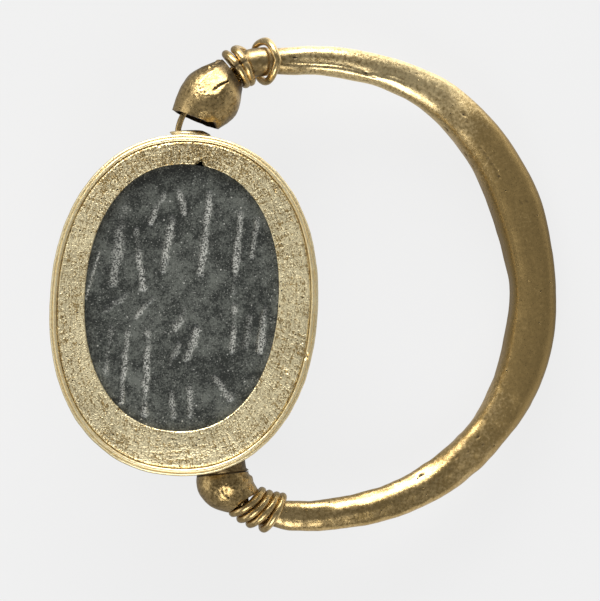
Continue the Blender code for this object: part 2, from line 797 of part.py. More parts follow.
def swivel_run():
    """The wire's run from the upper neck, through the bezel along the axis, to the lower neck."""
    points = []
    upper = Vector((0, UPPER_END + UPPER_COLLAR_PROUD))
    lower = Vector((0, LOWER_END))
    into_upper = BentLine(upper, 86, UPPER_NECK, UPPER_NECK_HEADING - 180)
    into_lower = BentLine(lower, -90, LOWER_NECK, LOWER_NECK_HEADING - 180)
    steps = 10
    for i in range(steps):
        points.append(into_upper.at(into_upper.length * (1 - (i + 0.5) / steps))[0])
    points.append(Vector((0, UPPER_END * 0.6)))
    points.append(Vector((0, LOWER_END * 0.6)))
    for i in range(steps):
        points.append(into_lower.at(into_lower.length * (i + 0.5) / steps)[0])
    return [(Vector((p.x, p.y, 0)), SWIVEL_WIRE_RADIUS) for p in points]


def make_wire(material, frame):
    """One wire: wound round the upper end, run through caps and bezel, wound round the lower end."""
    route = winding(UPPER_ROD, upper_knots())[::-1]
    route += swivel_run()
    route += winding(LOWER_ROD, lower_knots())
    curve = bpy.data.curves.new("swivel_wire", "CURVE")
    curve.dimensions = "3D"
    curve.bevel_depth = COIL_WIRE_RADIUS
    curve.bevel_resolution = 1
    curve.use_fill_caps = True
    spline = curve.splines.new("POLY")
    spline.points.add(len(route) - 1)
    for point, (place, radius) in zip(spline.points, route):
        point.co = (*place, 1)
        point.radius = radius / COIL_WIRE_RADIUS
    add_object("swivel_wire", curve, material, frame)


def make_frame(name, tilt):
    """An empty on the swivel axis, turned about it."""
    frame = bpy.data.objects.new(name, None)
    bpy.context.scene.collection.objects.link(frame)
    frame.location = (0, 0, AXIS_HEIGHT)
    frame.rotation_euler = (0, tilt, 0)
    return frame


def make_ring():
    clear_scene()
    tilt = hoop_tilt()
    scarab_frame = make_frame("scarab_frame", 0)
    ring_frame = make_frame("ring_frame", tilt)
    hoop_gold = make_material("hoop_gold", OLD_GOLD, METAL_ROUGHNESS, 1)
    cap_gold = make_material("cap_gold", OLD_GOLD, METAL_ROUGHNESS, 1)
    wire_gold = make_material("wire_gold", PALE_GOLD, METAL_ROUGHNESS, 1)
    bezel_gold = make_material("bezel_gold", PALE_GOLD, METAL_ROUGHNESS, 1)
    stone = make_material("scarab_stone", DARK_STONE, STONE_ROUGHNESS, 0)
    make_border(bezel_gold, scarab_frame)
    make_rim_wire(bezel_gold, scarab_frame)
    make_band(bezel_gold, scarab_frame)
    upper_face = UPPER_END + UPPER_COLLAR_PROUD
    make_collar(
        "upper_collar", UPPER_COLLAR_RADIUS, UPPER_COLLAR_SHIFT, upper_face, bezel_gold, scarab_frame
    )
    make_collar(
        "lower_collar", LOWER_COLLAR_RADIUS, LOWER_COLLAR_SHIFT, LOWER_END, bezel_gold, scarab_frame
    )
    make_scarab(stone, scarab_frame)
    make_hoop(hoop_gold, ring_frame, tilt)
    make_cap(
        "upper_cap",
        UPPER_NECK,
        UPPER_NECK_HEADING,
        UPPER_MOUTH,
        UPPER_MOUTH_HEADING,
        (UPPER_MOUTH_RADIUS, UPPER_BELLY_RADIUS, UPPER_BELLY_SHARE, UPPER_CAP_SAG),
        cap_gold,
        ring_frame,
    )
    make_cap(
        "lower_cap",
        LOWER_NECK,
        LOWER_NECK_HEADING,
        LOWER_MOUTH,
        LOWER_MOUTH_HEADING,
        (LOWER_MOUTH_RADIUS, LOWER_BELLY_RADIUS, LOWER_BELLY_SHARE, LOWER_CAP_SAG),
        cap_gold,
        ring_frame,
    )
    make_wire(wire_gold, ring_frame)


make_ring()
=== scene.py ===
from math import asin, atan2, copysign, cos, degrees, hypot, pi, radians, sin, tau

import bmesh
import bpy
from mathutils import Matrix, Vector, noise


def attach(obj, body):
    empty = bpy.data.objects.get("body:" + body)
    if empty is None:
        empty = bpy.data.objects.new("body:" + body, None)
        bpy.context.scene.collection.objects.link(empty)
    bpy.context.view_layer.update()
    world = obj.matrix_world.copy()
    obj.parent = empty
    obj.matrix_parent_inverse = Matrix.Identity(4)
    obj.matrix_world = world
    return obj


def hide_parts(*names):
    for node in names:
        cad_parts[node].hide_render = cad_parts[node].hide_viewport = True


# Everything is shaped in millimetres with the swivel axis along Y through the origin,
# then put on the table at the end.
METRE = 0.001
UP = Vector((0, 0, 1))

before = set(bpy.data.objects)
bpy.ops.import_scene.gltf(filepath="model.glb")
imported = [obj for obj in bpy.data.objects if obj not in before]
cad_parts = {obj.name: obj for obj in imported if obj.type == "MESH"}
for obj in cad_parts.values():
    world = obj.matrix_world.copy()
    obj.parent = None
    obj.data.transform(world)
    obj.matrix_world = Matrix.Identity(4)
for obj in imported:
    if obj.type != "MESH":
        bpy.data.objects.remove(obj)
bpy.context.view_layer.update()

# Sizes taken from the solids
AXIS_HEIGHT = 4.4
FACE = 2.9
REST_SPOT = 0.12
GAP = 0.03
OPENING_HALF = (5.4, 7.45)
OPENING_CENTRE = (-0.53, 0.36)
BORDER_WIDTH = 2.11
BEZEL_SHIFT = (0.08, -0.42)
LEAN = radians(-8.2)
OVAL_EXPONENT = 2.2
RIM_WIDTH = 0.44
BORDER_THICKNESS = 0.34
STONE_OVERLAP = 0.35
RIM_WIRE = 0.11
BAND_WALL = 0.36
ROLL = 0.13
BAND_FOOT = -0.62
BAND_FOOT_WIDTH = 0.7
BAND_BULGE = 0.42
HOOP_CENTRE_X = 7.31
HOOP_SHIFT_Y = 0.34
HOOP_CLEARANCE = 2.95
CROWN_HALF = 1.37
HOOP_FLATNESS = 0.94
CORE = 0.73
COIL_WIRE = 0.24
SWIVEL_WIRE = 0.17
LOOSE_WIRE = 0.22
FIRST_TURN = 0.36
NECK = 1.02
CAP_WALL = 0.18


# Oval outlines


def oval_point(angle, half_width, half_length, centre):
    power = 2 / OVAL_EXPONENT
    cosine = cos(angle)
    sine = sin(angle)
    x = copysign(abs(cosine) ** power, cosine) * half_width
    y = copysign(abs(sine) ** power, sine) * half_length
    return Matrix.Rotation(LEAN, 2) @ Vector((x, y)) + Vector(centre)


def opening(angle, offset=0.0):
    return oval_point(angle, OPENING_HALF[0] + offset, OPENING_HALF[1] + offset, OPENING_CENTRE)


def bezel(angle, offset=0.0):
    centre = (OPENING_CENTRE[0] + BEZEL_SHIFT[0], OPENING_CENTRE[1] + BEZEL_SHIFT[1])
    out = BORDER_WIDTH + offset
    return oval_point(angle, OPENING_HALF[0] + out, OPENING_HALF[1] + out, centre)


def around(steps):
    """Even angles right round."""
    return [tau * i / steps for i in range(steps)]


OUTLINE_STEPS = 720
UPPER_END = max(bezel(angle).y for angle in around(OUTLINE_STEPS))
LOWER_END = min(bezel(angle).y for angle in around(OUTLINE_STEPS))
HOOP_RADIUS = (UPPER_END - LOWER_END) / 2 + HOOP_CLEARANCE
HOOP_CENTRE = Vector((HOOP_CENTRE_X, (UPPER_END + LOWER_END) / 2 + HOOP_SHIFT_Y))


# Small helpers


def heading(turn):
    """A direction in the plane of the ring, from its angle in degrees."""
    return Vector((cos(radians(turn)), sin(radians(turn))))


def ease(share):
    share = min(max(share, 0.0), 1.0)
    return share * share * (3 - 2 * share)


def mix(a, b, share):
    return a + (b - a) * share


def table_value(rows, at, column=1):
    """A smooth value between rows of (place, values...), whose places rise."""
    if at <= rows[0][0]:
        return rows[0][column]
    for k in range(len(rows) - 1):
        if at <= rows[k + 1][0]:
            share = (at - rows[k][0]) / (rows[k + 1][0] - rows[k][0])
            p0 = rows[max(k - 1, 0)][column]
            p1 = rows[k][column]
            p2 = rows[k + 1][column]
            p3 = rows[min(k + 2, len(rows) - 1)][column]
            slope = (p2 - p0) / 2
            rise = p2 - p1
            end = (p3 - p1) / 2
            bend = 3 * rise - 2 * slope - end
            return p1 + share * (slope + share * (bend + share * (slope + end - 2 * rise)))
    return rows[-1][column]


def bump(distance, reach):
    """A smooth hill of height 1 that ends at its reach."""
    t = min(abs(distance) / reach, 1.0)
    return (1 - t * t) ** 2


def rough(point, scale, octaves):
    """Smooth unevenness, about 1 either way."""
    return noise.fractal(point * scale, 0.9, 2.1, octaves, noise_basis="PERLIN_ORIGINAL")


def on_pattern(angle, width, length, height):
    """A place in a pattern that closes round a piece."""
    return Vector((cos(angle) * width, sin(angle) * length, height))


def turn_gap(a, b):
    """The smaller angle between two angles, in radians."""
    return (a - b + pi) % tau - pi


def off_stretch(x, y, run_x, run_y):
    """How far a place is from a straight stretch that starts at the origin."""
    t = min(max((x * run_x + y * run_y) / (run_x * run_x + run_y * run_y), 0), 1)
    return hypot(x - t * run_x, y - t * run_y)


class BentLine:
    """A smooth line between two places and headings, measured along its length."""

    def __init__(self, start, start_heading, end, end_heading):
        pull = (end - start).length * 0.36
        first = start + heading(start_heading) * pull
        second = end - heading(end_heading) * pull
        steps = 60
        self.points = []
        for i in range(steps + 1):
            t = i / steps
            u = 1 - t
            near = start * u**3 + first * 3 * u * u * t
            self.points.append(near + second * 3 * u * t * t + end * t**3)
        self.lengths = [0.0]
        for a, b in zip(self.points, self.points[1:]):
            self.lengths.append(self.lengths[-1] + (b - a).length)
        self.ends = (heading(start_heading), heading(end_heading))
        self.length = self.lengths[-1]

    def at(self, distance):
        if distance <= 0:
            return self.points[0] + self.ends[0] * distance, self.ends[0]
        if distance >= self.length:
            return self.points[-1] + self.ends[1] * (distance - self.length), self.ends[1]
        i = max(k for k, length in enumerate(self.lengths) if length <= distance)
        a, b = self.points[i], self.points[i + 1]
        share = (distance - self.lengths[i]) / (self.lengths[i + 1] - self.lengths[i])
        return a.lerp(b, share), (b - a).normalized()


# Hoop line

# Measured every 12 degrees round the hoop, as shares of its radius and of the crown's thickness
FIRST_ANGLE = 90
LAST_ANGLE = -102
HOOP_REACHES = (
    1.027, 1.013, 1.0076, 1.005, 0.9992, 0.9948, 0.984, 0.972, 0.9644, 0.954, 0.9596, 0.974,
    0.9916, 1.0084, 1.011, 1.0136, 1.023,
)
HOOP_HALVES = (
    0.606, 0.65, 0.701, 0.763, 0.799, 0.832, 0.967, 1.029, 0.967, 1.033, 1.077, 0.993, 0.916,
    0.792, 0.675, 0.639, 0.577,
)
HOOP_STATIONS = list(zip(range(LAST_ANGLE, FIRST_ANGLE + 1, 12), HOOP_REACHES, HOOP_HALVES))


def hoop_point(angle):
    reach = table_value(HOOP_STATIONS, angle) * HOOP_RADIUS
    half = table_value(HOOP_STATIONS, angle, 2) * CROWN_HALF
    return HOOP_CENTRE + heading(angle) * reach, half


def hoop_heading(angle):
    run = hoop_point(angle - 0.5)[0] - hoop_point(angle + 0.5)[0]
    return degrees(atan2(run.y, run.x))


crown_middle, crown_half = hoop_point(0)
TILT = asin((AXIS_HEIGHT - (crown_half * HOOP_FLATNESS - REST_SPOT)) / crown_middle.x)

UPPER_MOUTH = Vector((1.06, UPPER_END + 0.76))
UPPER_NECK = UPPER_MOUTH + Vector((2.16, 2.44))
LOWER_MOUTH = Vector((1.02, LOWER_END - 0.1))
LOWER_NECK = LOWER_MOUTH + Vector((0.93, -1.36))
UPPER_RUN = 32
LOWER_RUN = -50
UPPER_ROD = BentLine(
    UPPER_NECK, UPPER_RUN, hoop_point(FIRST_ANGLE)[0], hoop_heading(FIRST_ANGLE)
)
LOWER_ROD = BentLine(
    LOWER_NECK, LOWER_RUN, hoop_point(LAST_ANGLE)[0], hoop_heading(LAST_ANGLE) + 180
)

# Where each body's pieces go on the table, once shaped
LIFT = Matrix.Translation((0, 0, AXIS_HEIGHT * METRE))
PLACES = {
    "ring": LIFT @ Matrix.Rotation(TILT, 4, "Y") @ Matrix.Scale(METRE, 4),
    "scarab": LIFT @ Matrix.Scale(METRE, 4),
}


# Mesh making


def add_object(name, data):
    made = bpy.data.objects.new(name, data)
    bpy.context.scene.collection.objects.link(made)
    return made


def settle(bm, name, material, body, node, sharp):
    """Puts a finished bmesh in its place on the table as a piece of the ring."""
    bmesh.ops.recalc_face_normals(bm, faces=bm.faces)
    bmesh.ops.transform(bm, matrix=PLACES[body], verts=bm.verts)
    mesh = bpy.data.meshes.new(name)
    bm.to_mesh(mesh)
    bm.free()
    mesh.materials.append(material)
    mesh.shade_smooth()
    mesh.set_sharp_from_angle(angle=radians(sharp))
    piece = add_object(name, mesh)
    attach(piece, body)
    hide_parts(node)


def in_turn(verts):
    return sorted(verts, key=lambda v: atan2(v.co.y, v.co.x))


def polar(vert):
    """A vertex's angle round the upright axis and its distance from it."""
    return atan2(vert.co.y, vert.co.x), hypot(vert.co.x, vert.co.y)


def tube(places, section, sides, closed=False):
    """A tube of rings: section(ring, angle) gives a point in the ring's own plane and along it,
    and how much soil and painted shade lies there. Closed joins the last ring to the first,
    otherwise both ends are capped."""
    bm = bmesh.new()
    soil_and_shade = bm.verts.layers.float.new("soil_and_shade")
    made = bmesh.ops.create_circle(bm, cap_ends=not closed, segments=sides, radius=1.0)
    edges = first_edges = list(bm.edges)
    rings = [in_turn(made["verts"])]
    for _ in places[1:]:
        grown = bmesh.ops.extrude_edge_only(bm, edges=edges)["geom"]
        edges = [e for e in grown if isinstance(e, bmesh.types.BMEdge)]
        verts = [v for v in grown if isinstance(v, bmesh.types.BMVert)]
        rings.append(in_turn(verts))
        marked = set(verts)
        edges = [e for e in edges if e.verts[0] in marked and e.verts[1] in marked]
    angles = [polar(v)[0] for v in rings[0]]
    for i, (ring, place) in enumerate(zip(rings, places)):
        for vert, angle in zip(ring, angles):
            *spot, dirt_and_shade = section(i, angle)
            vert.co = place @ Vector(spot)
            vert[soil_and_shade] = dirt_and_shade
    if closed:
        bmesh.ops.bridge_loops(bm, edges=first_edges + edges)
    else:
        bmesh.ops.contextual_create(bm, geom=edges)
    return bm


def ring_place(side, up, along, middle):
    """A ring's place, from its three axes and its middle."""
    place = Matrix((side, up, along)).transposed().to_4x4()
    place.translation = middle
    return place


def station(middle, run):
    """A ring's place on a flat line: X to the left of the heading, Y up, Z along it."""
    return ring_place(Vector((-run.y, run.x, 0)), UP, run.to_3d(), middle.to_3d())


def lathe(profile, steps, closed=True):
    """Spins a profile of (distance, height) right round, with the distances kept."""
    bm = bmesh.new()
    verts = [bm.verts.new((distance, 0, height)) for distance, height in profile]
    ends = verts[1:] + verts[:1] if closed else verts[1:]
    edges = [bm.edges.new(pair) for pair in zip(verts, ends)]
    bmesh.ops.spin(
        bm,
        geom=verts + edges,
        cent=(0, 0, 0),
        axis=(0, 0, 1),
        angle=tau,
        steps=steps,
        use_merge=True,
    )
    return bm


# Hoop

# Angle round the hoop and how boxy the rod is there
HOOP_FORM = (
    (-102, 2.0), (-62, 2.3), (-35, 2.9), (0, 3.5), (35, 3.0),
    (60, 2.5), (90, 2.1),
)
# How far the top of the rod reaches at angles round it, from the outer side over the top to
# the inner side: the upper arm has a folded crease, the lower one is beaten into faces
UPPER_FACES = (
    (0, 1.0), (23, 0.995), (74, 0.83), (94, 0.725), (109, 0.724),
    (116.6, 0.85), (127, 0.915), (154, 0.948), (180, 1.0),
)
BEND_FACES = (
    (0, 1.0), (23, 1.02), (62, 0.87), (84, 0.8), (104, 0.79),
    (150, 0.925), (180, 1.0),
)
LOWER_FACES = (
    (0, 1.0), (21, 0.994), (58.7, 0.866), (69.4, 0.854), (98, 0.839),
    (127, 0.828), (150, 0.87), (168, 0.951), (180, 1.0),
)
LOWER_END_FACES = (
    (0, 1.0), (21, 0.994), (58.7, 0.866), (69.4, 0.834), (100, 0.79),
    (139, 0.922), (165, 0.982), (180, 1.0),
)
# Angle round the hoop and angle round the rod of the upper arm's crease, and how deep it is
CREASE = (
    (52, 114, 0.0), (60, 106, 0.5), (66, 101, 0.8), (69, 108, 0.25), (73, 118, 0.6),
    (80, 112, 1.0), (88, 113, 1.0), (96, 98, 1.0),
)
# Dents and nicks: angle round the hoop, angle round the rod, reach in mm, depth in mm
HOOP_MARKS = (
    (45.7, 84, 0.1, 0.1), (44, 92, 0.1, 0.04), (52, 80, 0.12, 0.03),
    (56, 60, 0.14, 0.03), (61, 52, 0.13, 0.03), (36.5, 108, 0.09, 0.05),
    (34.6, 107, 0.1, 0.06), (32.8, 106, 0.1, 0.06), (31, 106, 0.1, 0.06),
    (29.3, 105, 0.1, 0.05), (27.4, 106, 0.11, 0.08), (18.5, 81, 0.1, 0.05),
    (18.2, 70, 0.1, 0.05), (40, 66, 0.12, 0.03), (46, 158, 0.14, 0.07),
    (37, 160, 0.14, 0.07), (33, 165, 0.16, 0.06), (-48, 107, 0.12, 0.08),
    (-48.6, 80, 0.1, 0.07), (-52.6, 98, 0.1, 0.06), (-56, 110, 0.1, 0.05),
    (-59, 92, 0.1, 0.04), (-66.4, 141, 0.15, 0.1), (-40, 119, 0.4, 0.03),
    (-37, 112, 0.14, 0.03), (-43, 124, 0.14, 0.03), (-8, 14, 0.14, 0.06),
    (8, 96, 0.07, 0.04), (-14, 112, 0.08, 0.04), (73.4, 120, 0.14, 0.09),
    (71, 126, 0.1, 0.06), (92, 74, 0.15, 0.1),
)


def hoop_section(angle, half, arc, squareness, share):
    """A point of the rod's section, hammered, creased and nicked."""
    cosine = abs(cos(angle))
    sine = abs(sin(angle))
    reach = (cosine**squareness + sine**squareness) ** (-1 / squareness)
    facing = degrees(angle)
    if facing > 0:
        # the creased upper arm and the beaten lower one, with the plain crown between them
        upper = share * ease((arc - 43) / 10)
        lower = share * ease((-48 - arc) / 16)
        if upper > 0:
            moved = (table_value(CREASE, arc) - 113) * bump(facing - 108, 62)
            faces = table_value(UPPER_FACES, facing - moved)
            folded = table_value(CREASE, arc, 2)
            smoothed = max(faces, mix(0.86, faces, folded))
            bent = table_value(BEND_FACES, facing)
            reach = mix(reach, mix(smoothed, bent, ease((67 - arc) / 7)), upper)
        if lower > 0:
            faces = table_value(LOWER_FACES, facing)
            end_faces = table_value(LOWER_END_FACES, facing)
            reach = mix(reach, mix(faces, end_faces, ease((-90 - arc) / 6)), lower)
    # the inner side is drawn in towards the rod's middle, most at the crown
    inward = 0.115 * bump(arc, 90) if abs(facing) > 90 else 0.0
    across = cos(angle) * reach * half * (1 - inward)
    up = sin(angle) * reach * half * HOOP_FLATNESS
    point = Vector((across, up, radians(arc) * HOOP_RADIUS))
    beaten = 0.012 + 0.022 * ease((-22 - arc) / 14)
    swell = rough(point, 0.42, 2) * 0.035 + rough(point + Vector((9, 3, 1)), 1.2, 2) * beaten
    soil_and_painted_shade = 0.0
    for mark_arc, mark_turn, mark_reach, depth in HOOP_MARKS:
        along = radians(mark_arc - arc) * HOOP_RADIUS
        if abs(along) < mark_reach * 2:
            round_off = turn_gap(radians(mark_turn), angle) * half
            off = hypot(along * 0.6, round_off)
            swell -= depth * bump(off, mark_reach)
            soil_and_painted_shade = max(soil_and_painted_shade, 14 * depth * bump(off, mark_reach))
    scale = 1 + swell * (0.35 + 0.65 * share) / half
    return across * scale, up * scale, soil_and_painted_shade


def make_hoop(material):
    """The hoop: rows of (place, half thickness, angle round the hoop, share that is hammered)."""
    ends = []
    rod_steps = 44
    hoop_steps = 300
    core_start = FIRST_TURN + COIL_WIRE + GAP
    for line, sign, end_angle in ((UPPER_ROD, 1, FIRST_ANGLE), (LOWER_ROD, -1, LAST_ANGLE)):
        end_half = hoop_point(end_angle)[1]
        part = []
        for i in range(rod_steps):
            distance = core_start + (line.length - core_start) * i / rod_steps
            middle, run = line.at(distance)
            share = ease((distance / line.length - 0.55) / 0.45)
            half = mix(CORE, end_half, share)
            if line is UPPER_ROD:
                # the upper rod swells between its close turns and its loose one
                drum = ease((distance - 1.1) / 0.12) * ease((2.4 - distance) / 0.25)
                half += 0.08 * drum - 0.07 * bump(distance - 2.55, 0.2)
            arc = end_angle + sign * (line.length - distance) * 4.5
            part.append((station(middle, run * sign), half, arc, share))
        ends.append(part)
    rows = ends[0]
    for i in range(hoop_steps + 1):
        arc = mix(FIRST_ANGLE, LAST_ANGLE, i / hoop_steps)
        middle, half = hoop_point(arc)
        rows.append((station(middle, heading(hoop_heading(arc))), half, arc, 1.0))
    rows += reversed(ends[1])

    def section(i, angle):
        _, half, arc, share = rows[i]
        squareness = mix(2.0, table_value(HOOP_FORM, arc), share)
        across, up, soil_and_painted_shade = hoop_section(angle, half, arc, squareness, share)
        # soil and painted shade darken the rod near the caps
        worn = 0.36 + 0.5 * noise.noise(on_pattern(angle, 2, 2, i * 0.2))
        soil_and_painted_shade = max(soil_and_painted_shade, worn * ease((0.5 - share) / 0.4), 0.0)
        size = 0.8 if i in (0, len(rows) - 1) else 1.0
        return across * size, up * size, 0, soil_and_painted_shade

    bm = tube([row[0] for row in rows], section, sides=120)
    down = Matrix.Rotation(TILT, 3, "Y")
    for vert in bm.verts:
        placed = down @ vert.co
        if placed.z < -AXIS_HEIGHT:
            placed.z = -AXIS_HEIGHT
            vert.co = down.inverted() @ placed
    settle(bm, "hammered_hoop", material, "ring", "hoop", 60)


# Caps


def cap_profile(share, mouth, belly, belly_share):
    if share < belly_share:
        return mouth + (belly - mouth) * sin(pi / 2 * share / belly_share)
    fall = (share - belly_share) / (1 - belly_share)
    return NECK + (belly - NECK) * cos(pi / 2 * fall)


def make_cap(name, node, material, line, headings, radii, sag, torn, dented, grid):
    """A thin shell from its neck to its mouth and back inside it, torn and dented. Its radii are
    those of the mouth and the belly, and the share of the way in at which the belly lies."""
    sides, rows_out = grid
    rows_in = 14
    shares = [1 - i / (rows_out - 1) for i in range(rows_out)]
    shares += [i / (rows_in - 1) for i in range(rows_in)]
    places = []
    for share in shares:
        middle, _ = line.at(line.length * (1 - share))
        run = heading(mix(headings[1], headings[0], share))
        side = Vector((-run.y, run.x))
        places.append(station(middle + side * sag * sin(pi * share), run))

    def section(i, angle):
        share = shares[i]
        radius = cap_profile(share, *radii)
        point = on_pattern(angle, 1.5, 1.5, share * line.length)
        radius += rough(point + Vector((4, 7, 2)), 0.7, 2) * 0.04
        if i < rows_out:
            radius += rough(point, 2.3, 3) * 0.016
            radius, soil_and_painted_shade = dented(share, angle, radius)
        else:
            radius -= CAP_WALL * (0.75 if share < 0.04 else 1.0)
            # the inside of the shell is darkened, most at the mouth
            soil_and_painted_shade = 0.6 + 0.4 * ease(1 - share / 0.12)
        return radius * cos(angle), radius * sin(angle), -torn(share, angle), soil_and_painted_shade

    bm = tube(places, section, sides, closed=True)
    settle(bm, name, material, "ring", node, 45)


# The caps' usual radius, which turns an angle round them into a distance
BELLY = 1.6


def off_by(share, angle, at, length):
    """How far a place on a cap is from another, in millimetres."""
    return hypot((share - at[0]) * length, turn_gap(angle, radians(at[1])) * BELLY)


def groove(share, angle, path, length, width):
    """A crack along a path of (share, angle in degrees) on a cap."""
    gaps = []
    for (s0, a0), (s1, a1) in zip(path, path[1:]):
        gap = turn_gap(angle, radians(a0)) * BELLY
        rise = radians(a1 - a0) * BELLY
        gaps.append(off_stretch((share - s0) * length, gap, (s1 - s0) * length, rise))
    return bump(min(gaps), width)


# Pits round the flat hammered face of the upper cap: share from the mouth, angle, reach, depth
UPPER_PITS = (
    (0.45, 128, 0.08, 0.05), (0.42, 122, 0.07, 0.05), (0.46, 119, 0.06, 0.04),
    (0.38, 116, 0.07, 0.05), (0.41, 110, 0.08, 0.05), (0.36, 106, 0.06, 0.04),
    (0.4, 101, 0.07, 0.05), (0.37, 96, 0.06, 0.04), (0.44, 93, 0.07, 0.05),
    (0.46, 86, 0.06, 0.05), (0.52, 82, 0.07, 0.05), (0.57, 77, 0.06, 0.04),
    (0.63, 74, 0.07, 0.05), (0.71, 70, 0.06, 0.04), (0.33, 122, 0.06, 0.04),
    (0.3, 113, 0.05, 0.03), (0.49, 74, 0.06, 0.03), (0.22, 66, 0.07, 0.05),
    (0.35, 40, 0.06, 0.05), (0.2, 50, 0.09, 0.05), (0.12, 120, 0.07, 0.04),
    (0.17, 132, 0.07, 0.04), (0.1, 104, 0.06, 0.03),
)
LOWER_PITS = (
    (0.36, 92, 0.07, 0.05), (0.33, 100, 0.07, 0.05), (0.4, 106, 0.06, 0.05),
    (0.45, 78, 0.07, 0.05), (0.52, 74, 0.06, 0.04), (0.6, 71, 0.07, 0.05),
    (0.68, 68, 0.06, 0.04), (0.5, 110, 0.06, 0.04), (0.62, 108, 0.06, 0.04),
    (0.74, 104, 0.06, 0.05), (0.3, 84, 0.05, 0.04), (0.84, 96, 0.07, 0.04),
    (0.09, 52, 0.05, 0.04), (0.2, 118, 0.05, 0.04),
)


def pitted(share, angle, pits, length):
    return sum(d * bump(off_by(share, angle, (s, a), length), r) for s, a, r, d in pits)


def make_upper_cap(material):
    headings = (UPPER_RUN + 180, 242.3)
    length = 3.3
    line = BentLine(UPPER_NECK, headings[0], UPPER_MOUTH, headings[1])
    swells = (((0.3, 60), -0.05, 0.6), ((0.93, 158), 0.12, 0.22), ((0.79, 150), 0.09, 0.16))

    def torn(share, angle):
        """How far the shell is pulled back from its mouth, or drawn out to the first turn."""
        near = ease(1 - share / 0.3)
        facing = degrees(angle)
        edge = 0.03 * noise.noise(on_pattern(angle, 3, 3, 5))
        if 30 < facing < 74:
            notch = min((facing - 30) / 25, (74 - facing) / 19, 1.0)
            edge += 0.22 * notch * ease(1.2 - share / 0.14)
        edge -= 0.05 * bump(turn_gap(angle, radians(166)), 0.3)
        drawn = 0.07 * ease((share - 0.8) / 0.2) * max(0.0, -cos(angle))
        return edge * near + drawn

    def dented(share, angle, radius):
        # the flat face that the hammer left, cracked across
        flat = mix(1.68, 1.3, (share - 0.44) / 0.38)
        radius = min(radius, flat / max(cos(turn_gap(angle, radians(110))), 0.2))
        radius += 0.17 * max(0.0, 1 - share / 0.42) * max(0.0, sin(angle)) ** 2
        radius += 0.13 * cos(angle) * ease((share - 0.5) / 0.35)
        crack = groove(share, angle, ((0.54, 100), (0.66, 96), (0.82, 86)), length, 0.08)
        pits = pitted(share, angle, UPPER_PITS, length)
        for at, height, reach in swells:
            radius += height * bump(off_by(share, angle, at, length), reach)
        sliver = groove(share, angle, ((0.72, 172), (0.84, 142)), length, 0.08)
        # soil darkens the crack, the sliver and the pits, and painted shade darkens the band by
        # the neck
        soil_and_painted_shade = crack + sliver + 16 * pits + 0.85 * ease((share - 0.78) / 0.14)
        return radius - 0.12 * crack - 0.07 * sliver - pits, min(soil_and_painted_shade, 1.0)

    radii = (1.41, 1.73, 0.45)
    grid = (168, 72)
    shaped = (line, headings, radii, 0.15, torn, dented, grid)
    make_cap("torn_upper_cap", "upper_cap", material, *shaped)


def make_lower_cap(material):
    headings = (LOWER_RUN + 180, 90)
    length = 1.7
    line = BentLine(LOWER_NECK, headings[0], LOWER_MOUTH, headings[1])

    def torn(share, angle):
        """The mouth is drawn close to the collar's flat face, the neck out to the first turn."""
        drawn = 0.02 + 0.3 * max(0.0, cos(turn_gap(angle, radians(165))))
        return drawn * ease((share - 0.7) / 0.3) - 0.09 * ease(1 - share / 0.2)

    def dented(share, angle, radius):
        pits = pitted(share, angle, LOWER_PITS, length)
        facet = bump(off_by(share, angle, (0.56, 83), length), 0.55)
        radius += 0.26 * turn_gap(angle, radians(83)) * facet
        radius += (0.1 * cos(angle) + 0.03) * ease((share - 0.4) / 0.35)
        radius -= 0.16 * max(0.0, -cos(angle)) * ease(1 - share / 0.35)
        grooves = groove(share, angle, ((0.4, 68), (0.62, 66), (0.78, 72)), length, 0.07)
        grooves += groove(share, angle, ((0.6, 104), (0.8, 100)), length, 0.06)
        radius -= 0.04 * bump(off_by(share, angle, (0.3, 60), length), 0.5) + 0.04 * grooves
        # painted shade darkens the mouth's lip
        painted_shade_lip = ease(1 - share / 0.05)
        return radius - pits, min(0.6 * grooves + 16 * pits + painted_shade_lip, 1.0)

    radii = (1.52, 1.57, 0.25)
    grid = (128, 48)
    shaped = (line, headings, radii, 0.17, torn, dented, grid)
    make_cap("worn_lower_cap", "lower_cap", material, *shaped)


# Wire

# The count of turns that says a stretch of the wire isn't on a rod
OFF_ROD = -9


def wound(line, distance, radius, turn):
    middle, run = line.at(distance)
    side = Vector((-run.y, run.x))
    flat = middle + side * radius * sin(turn)
    return Vector((*flat, radius * cos(turn)))


def winding(line, knots, per_turn):
    """The wire round a rod end, through knots of (turns, distance, radius, wire, slant)."""
    points = []
    for start, end in zip(knots, knots[1:]):
        steps = max(3, round(abs(end[0] - start[0]) * per_turn))
        for i in range(steps + (end is knots[-1])):
            share = i / steps
            turn = mix(start[0], end[0], share)
            radius, wire, slant = (mix(start[k], end[k], ease(share)) for k in (2, 3, 4))
            distance = mix(start[1], end[1], share) + slant * sin(turn * tau)
            points.append((wound(line, distance, radius, turn * tau), wire, turn))
    return points


def coil_knots(passes, wire):
    """Knots of a close coil: for each pass over the rod, its distance and its slant."""
    radius = CORE + GAP + wire
    knots = [(-0.62, FIRST_TURN * 0.55, SWIVEL_WIRE * 0.7, SWIVEL_WIRE, 0)]
    for i, (distance, slant) in enumerate(passes):
        knots.append((i - 0.25, distance - 0.1, radius, wire, slant))
        knots.append((i + 0.25, distance + 0.1, radius, wire, slant))
    return knots


